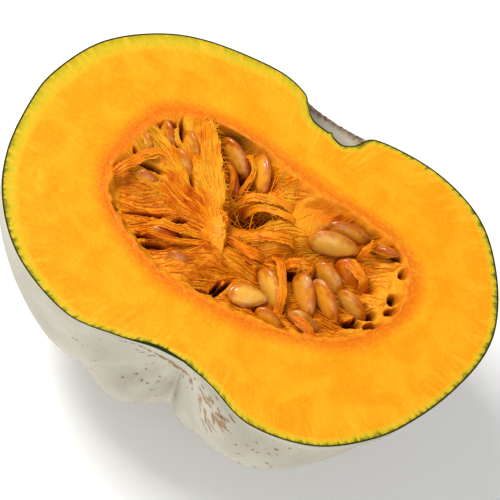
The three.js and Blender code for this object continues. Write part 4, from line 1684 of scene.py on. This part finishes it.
    def _fibres(self, name: str, lines: list[Fibre], finish: Material) -> None:
        """Makes one piece of many thin fibres.

        Args:
            name: The piece's name.
            lines: The points of each fibre, in mm, and its radius.
            finish: The fibres' material.
        """
        curve = bpy.data.curves.new(name, "CURVE")
        curve.dimensions = "3D"
        curve.bevel_depth = MM
        curve.bevel_resolution = 0
        curve.use_fill_caps = True
        for points, radius in lines:
            spline = curve.splines.new("POLY")
            spline.points.add(len(points) - 1)
            last = len(points) - 1
            for index, (knot, point) in enumerate(zip(spline.points, points)):
                belly = math.sin(math.pi * (0.1 + 0.8 * index / last))
                knot.co = (*placed(*point), 1.0)
                knot.radius = radius * (0.35 + 0.65 * belly)
        shaped = bpy.data.objects.new(name, curve)
        bpy.context.scene.collection.objects.link(shaped)
        graph = bpy.context.evaluated_depsgraph_get()
        mesh = bpy.data.meshes.new_from_object(shaped.evaluated_get(graph))
        bpy.data.objects.remove(shaped)
        mesh.name = name
        mesh.materials.clear()
        mesh.materials.append(finish)
        tone = mesh.attributes.new("tone", "FLOAT", "POINT")
        for vertex, entry in zip(mesh.vertices, tone.data):
            spot = vertex.co / MM - AXIS_ON_CUT
            entry.value = self.shape.brightness(spot.x, spot.y)
        settled(smooth_shaded(name, mesh), PULP_SLOT)

    def _along(self, x: float, y: float, length: float, lift: float) -> list[Point3]:
        """The points of a fibre that follows the flow over the surface.

        Args:
            x: Where it starts.
            y: Where it starts.
            length: How long it is.
            lift: How far its middle stands off the surface.

        Returns:
            Its points in mm, up to the first hole or the edge of the hollow.
        """
        steps = self.fibre_steps
        points = []
        for step in range(steps + 1):
            if HOLLOW.inset(x, y) < 2.0 or self.shape.hole(x, y) > 0.3:
                break
            arch = math.sin(math.pi * step / steps)
            points.append((x, y, self.shape.height(x, y) + 0.12 + lift * arch))
            run = self.shape.flow(x, y) * (length / steps)
            x += run.x
            y += run.y
        return points

    def _scatter(self, tangle: Tangle, wanted: Callable[[float, float], bool]) -> list[Fibre]:
        """Scatters fibres over the part of the pulp that is wanted.

        Args:
            tangle: How many fibres there are, and how large.
            wanted: Tells whether a fibre may start at a place.

        Returns:
            Points and radius of each fibre.
        """
        lines = []
        while len(lines) < tangle.count:
            x = self.dice.uniform(*self.scatter_x)
            y = self.dice.uniform(*self.scatter_y)
            if HOLLOW.inset(x, y) < 4.0 or not wanted(x, y):
                continue
            length = self.dice.uniform(*tangle.length)
            points = self._along(x, y, length, tangle.lift * self.dice.random() ** 2)
            if len(points) >= self.least_points:
                lines.append((points, self.dice.uniform(*tangle.radius)))
        return lines

    def _in_fan(self, x: float, y: float) -> bool:
        """Tells whether a fibre of the fan may start at a place."""
        seldom = 0.8 * self.shape.RUDDY.at(x, y)
        _, far = self.shape.polar(x, y)
        return self.shape.fan(x, y) > 0.5 and far > 8.0 and self.dice.random() > seldom

    def _in_bed(self, x: float, y: float) -> bool:
        """Tells whether a tangled fibre may start at a place: seldom on the smooth terrace."""
        seldom = 1.3 * self.shape.calm(x, y)
        return self.shape.fan(x, y) < 0.3 and x < 43 and self.dice.random() > seldom

    def _fan_lines(self) -> list[Fibre]:
        """Fibres of the fan and hairs along its torn edge."""
        lines = self._scatter(self.fan, self._in_fan)
        edge = Spline(PulpShape.TORN_EDGE)
        for _ in range(self.lip_hairs):
            share = self.dice.random()
            spot = edge.at(share)
            side = edge.tangent(share)
            splay = self.dice.uniform(-self.lip_splay, self.lip_splay)
            out = Vector((-side.y, side.x)) + side * splay
            x, y = spot - out * self.lip_root
            if HOLLOW.inset(x, y) < 1.5:
                continue
            z = self.shape.height(x, y)
            reach = self.dice.uniform(*self.lip_length)
            sag = self.dice.uniform(*self.lip_sag)
            points = []
            for way in (0.0, 0.35, 0.7, 1.0):
                far = reach * way
                points.append((x + out.x * far, y + out.y * far, z + 0.3 - sag * way * way))
            lines.append((points, self.dice.uniform(*self.lip_radius)))
        return lines

    def _bed_lines(self) -> list[Fibre]:
        """Tangled fibres between the seeds and over the rough pulp."""
        return self._scatter(self.bed, self._in_bed)

    def _pocket_lines(self) -> list[Fibre]:
        """Fibres that hang across the pocket, from the torn edge to the terrace and between the seeds."""
        lines = []
        while len(lines) < self.pocket_fibres:
            x = self.dice.gauss(*self.pocket_x)
            y = self.dice.gauss(*self.pocket_y)
            heading = math.radians(self.dice.gauss(*self.pocket_heading))
            reach = self.dice.uniform(*self.pocket_length)
            half_x, half_y = reach * math.cos(heading) / 2, reach * math.sin(heading) / 2
            start, end = (x - half_x, y - half_y), (x + half_x, y + half_y)
            inset = min(HOLLOW.inset(*start), HOLLOW.inset(*end))
            if inset < 1.5 or self.shape.fan(x, y) > 0.4:
                continue
            heights = self.shape.height(*start), self.shape.height(*end)
            sag = self.dice.uniform(*self.pocket_sag)
            points = []
            for step in range(self.fibre_steps + 1):
                way = step / self.fibre_steps
                px, py = between(start[0], end[0], way), between(start[1], end[1], way)
                wave = 0.5 * grain(px / 2, py / 2, len(lines))
                hanging = between(*heights, way) - sag * math.sin(math.pi * way)
                pz = max(hanging, self.shape.height(px, py) + self.rest_gap)
                points.append((px + wave, py - wave, pz))
            lines.append((points, self.dice.uniform(*self.pocket_radius)))
        return lines


# Studio


@dataclass(frozen=True)
class Lamp:
    """A square soft light: where it hangs and its side, in metres, and its strength in watts."""

    name: str
    place: Point3
    size: float
    power: float


@dataclass
class Studio:
    """Floor, lights and camera."""

    target: Point3 = (-2.0, -6.0, 0.0)
    elevation: float = 61.0
    roll: float = 33.0
    distance: float = 0.8
    focal_px: float = 2056.0
    image_px: float = 500.0
    sensor: float = 36.0
    floor_size: float = 6.0
    floor_cells: int = 8
    lamps: tuple[Lamp, ...] = (
        Lamp("key", (-0.72, 0.08, 1.1), 0.5, 18.0),
        Lamp("fill", (0.35, -1.1, 0.6), 1.1, 8.0),
    )
    lamp_aim: Point3 = (0.0, 0.0, -20.0)
    sky: float = 0.45

    def build(self) -> None:
        """Makes the whole studio."""
        self._camera()
        self._floor()
        for lamp in self.lamps:
            self._light(lamp)
        world = bpy.data.worlds.new("studio")
        world.use_nodes = True
        background = world.node_tree.nodes["Background"].inputs
        background["Color"].default_value = (1.0, 1.0, 1.0, 1.0)
        background["Strength"].default_value = self.sky
        bpy.context.scene.world = world
        bpy.context.scene.view_settings.view_transform = "Standard"

    def _camera(self) -> None:
        """Sets the camera at the photograph's viewing angle, rolled as the photograph is."""
        tilt = math.radians(self.elevation)
        back = Vector((0.0, -math.cos(tilt), math.sin(tilt)))
        level_right = Vector((1.0, 0.0, 0.0))
        level_up = back.cross(level_right)
        turn = math.radians(self.roll)
        right = level_right * math.cos(turn) + level_up * math.sin(turn)
        up = level_up * math.cos(turn) - level_right * math.sin(turn)
        lens = bpy.data.cameras.new("camera")
        lens.sensor_width = self.sensor
        lens.lens = self.focal_px / self.image_px * self.sensor
        camera = bpy.data.objects.new("camera", lens)
        spin = Matrix((right, up, back)).transposed().to_4x4()
        stand = placed(*self.target) + back * self.distance
        camera.matrix_world = Matrix.Translation(stand) @ spin
        bpy.context.scene.collection.objects.link(camera)
        bpy.context.scene.camera = camera

    def _floor(self) -> None:
        """Lays the pale floor."""
        bm = bmesh.new()
        cells = self.floor_cells
        bmesh.ops.create_grid(bm, x_segments=cells, y_segments=cells, size=self.floor_size / 2)
        floor = finished("floor", bm, [FloorFinish().material()])

    def _light(self, lamp: Lamp) -> None:
        """Hangs a lamp so that it faces the half.

        Args:
            lamp: The lamp.
        """
        glow = bpy.data.lights.new(lamp.name, "AREA")
        glow.size = lamp.size
        glow.energy = lamp.power
        light = bpy.data.objects.new(lamp.name, glow)
        light.location = lamp.place
        away = Vector(lamp.place) - placed(*self.lamp_aim)
        light.rotation_euler = away.to_track_quat("Z", "Y").to_euler()
        bpy.context.scene.collection.objects.link(light)


def main() -> None:
    """Builds every piece in order."""
    logging.basicConfig(level=logging.INFO, format="%(name)s %(message)s")
    Studio().build()
    FruitWall().build()
    CorkFlecks().build()
    seeds = Seeds()
    seeds.build()
    Pulp(seeds).build()


if __name__ == "__main__":
    main()
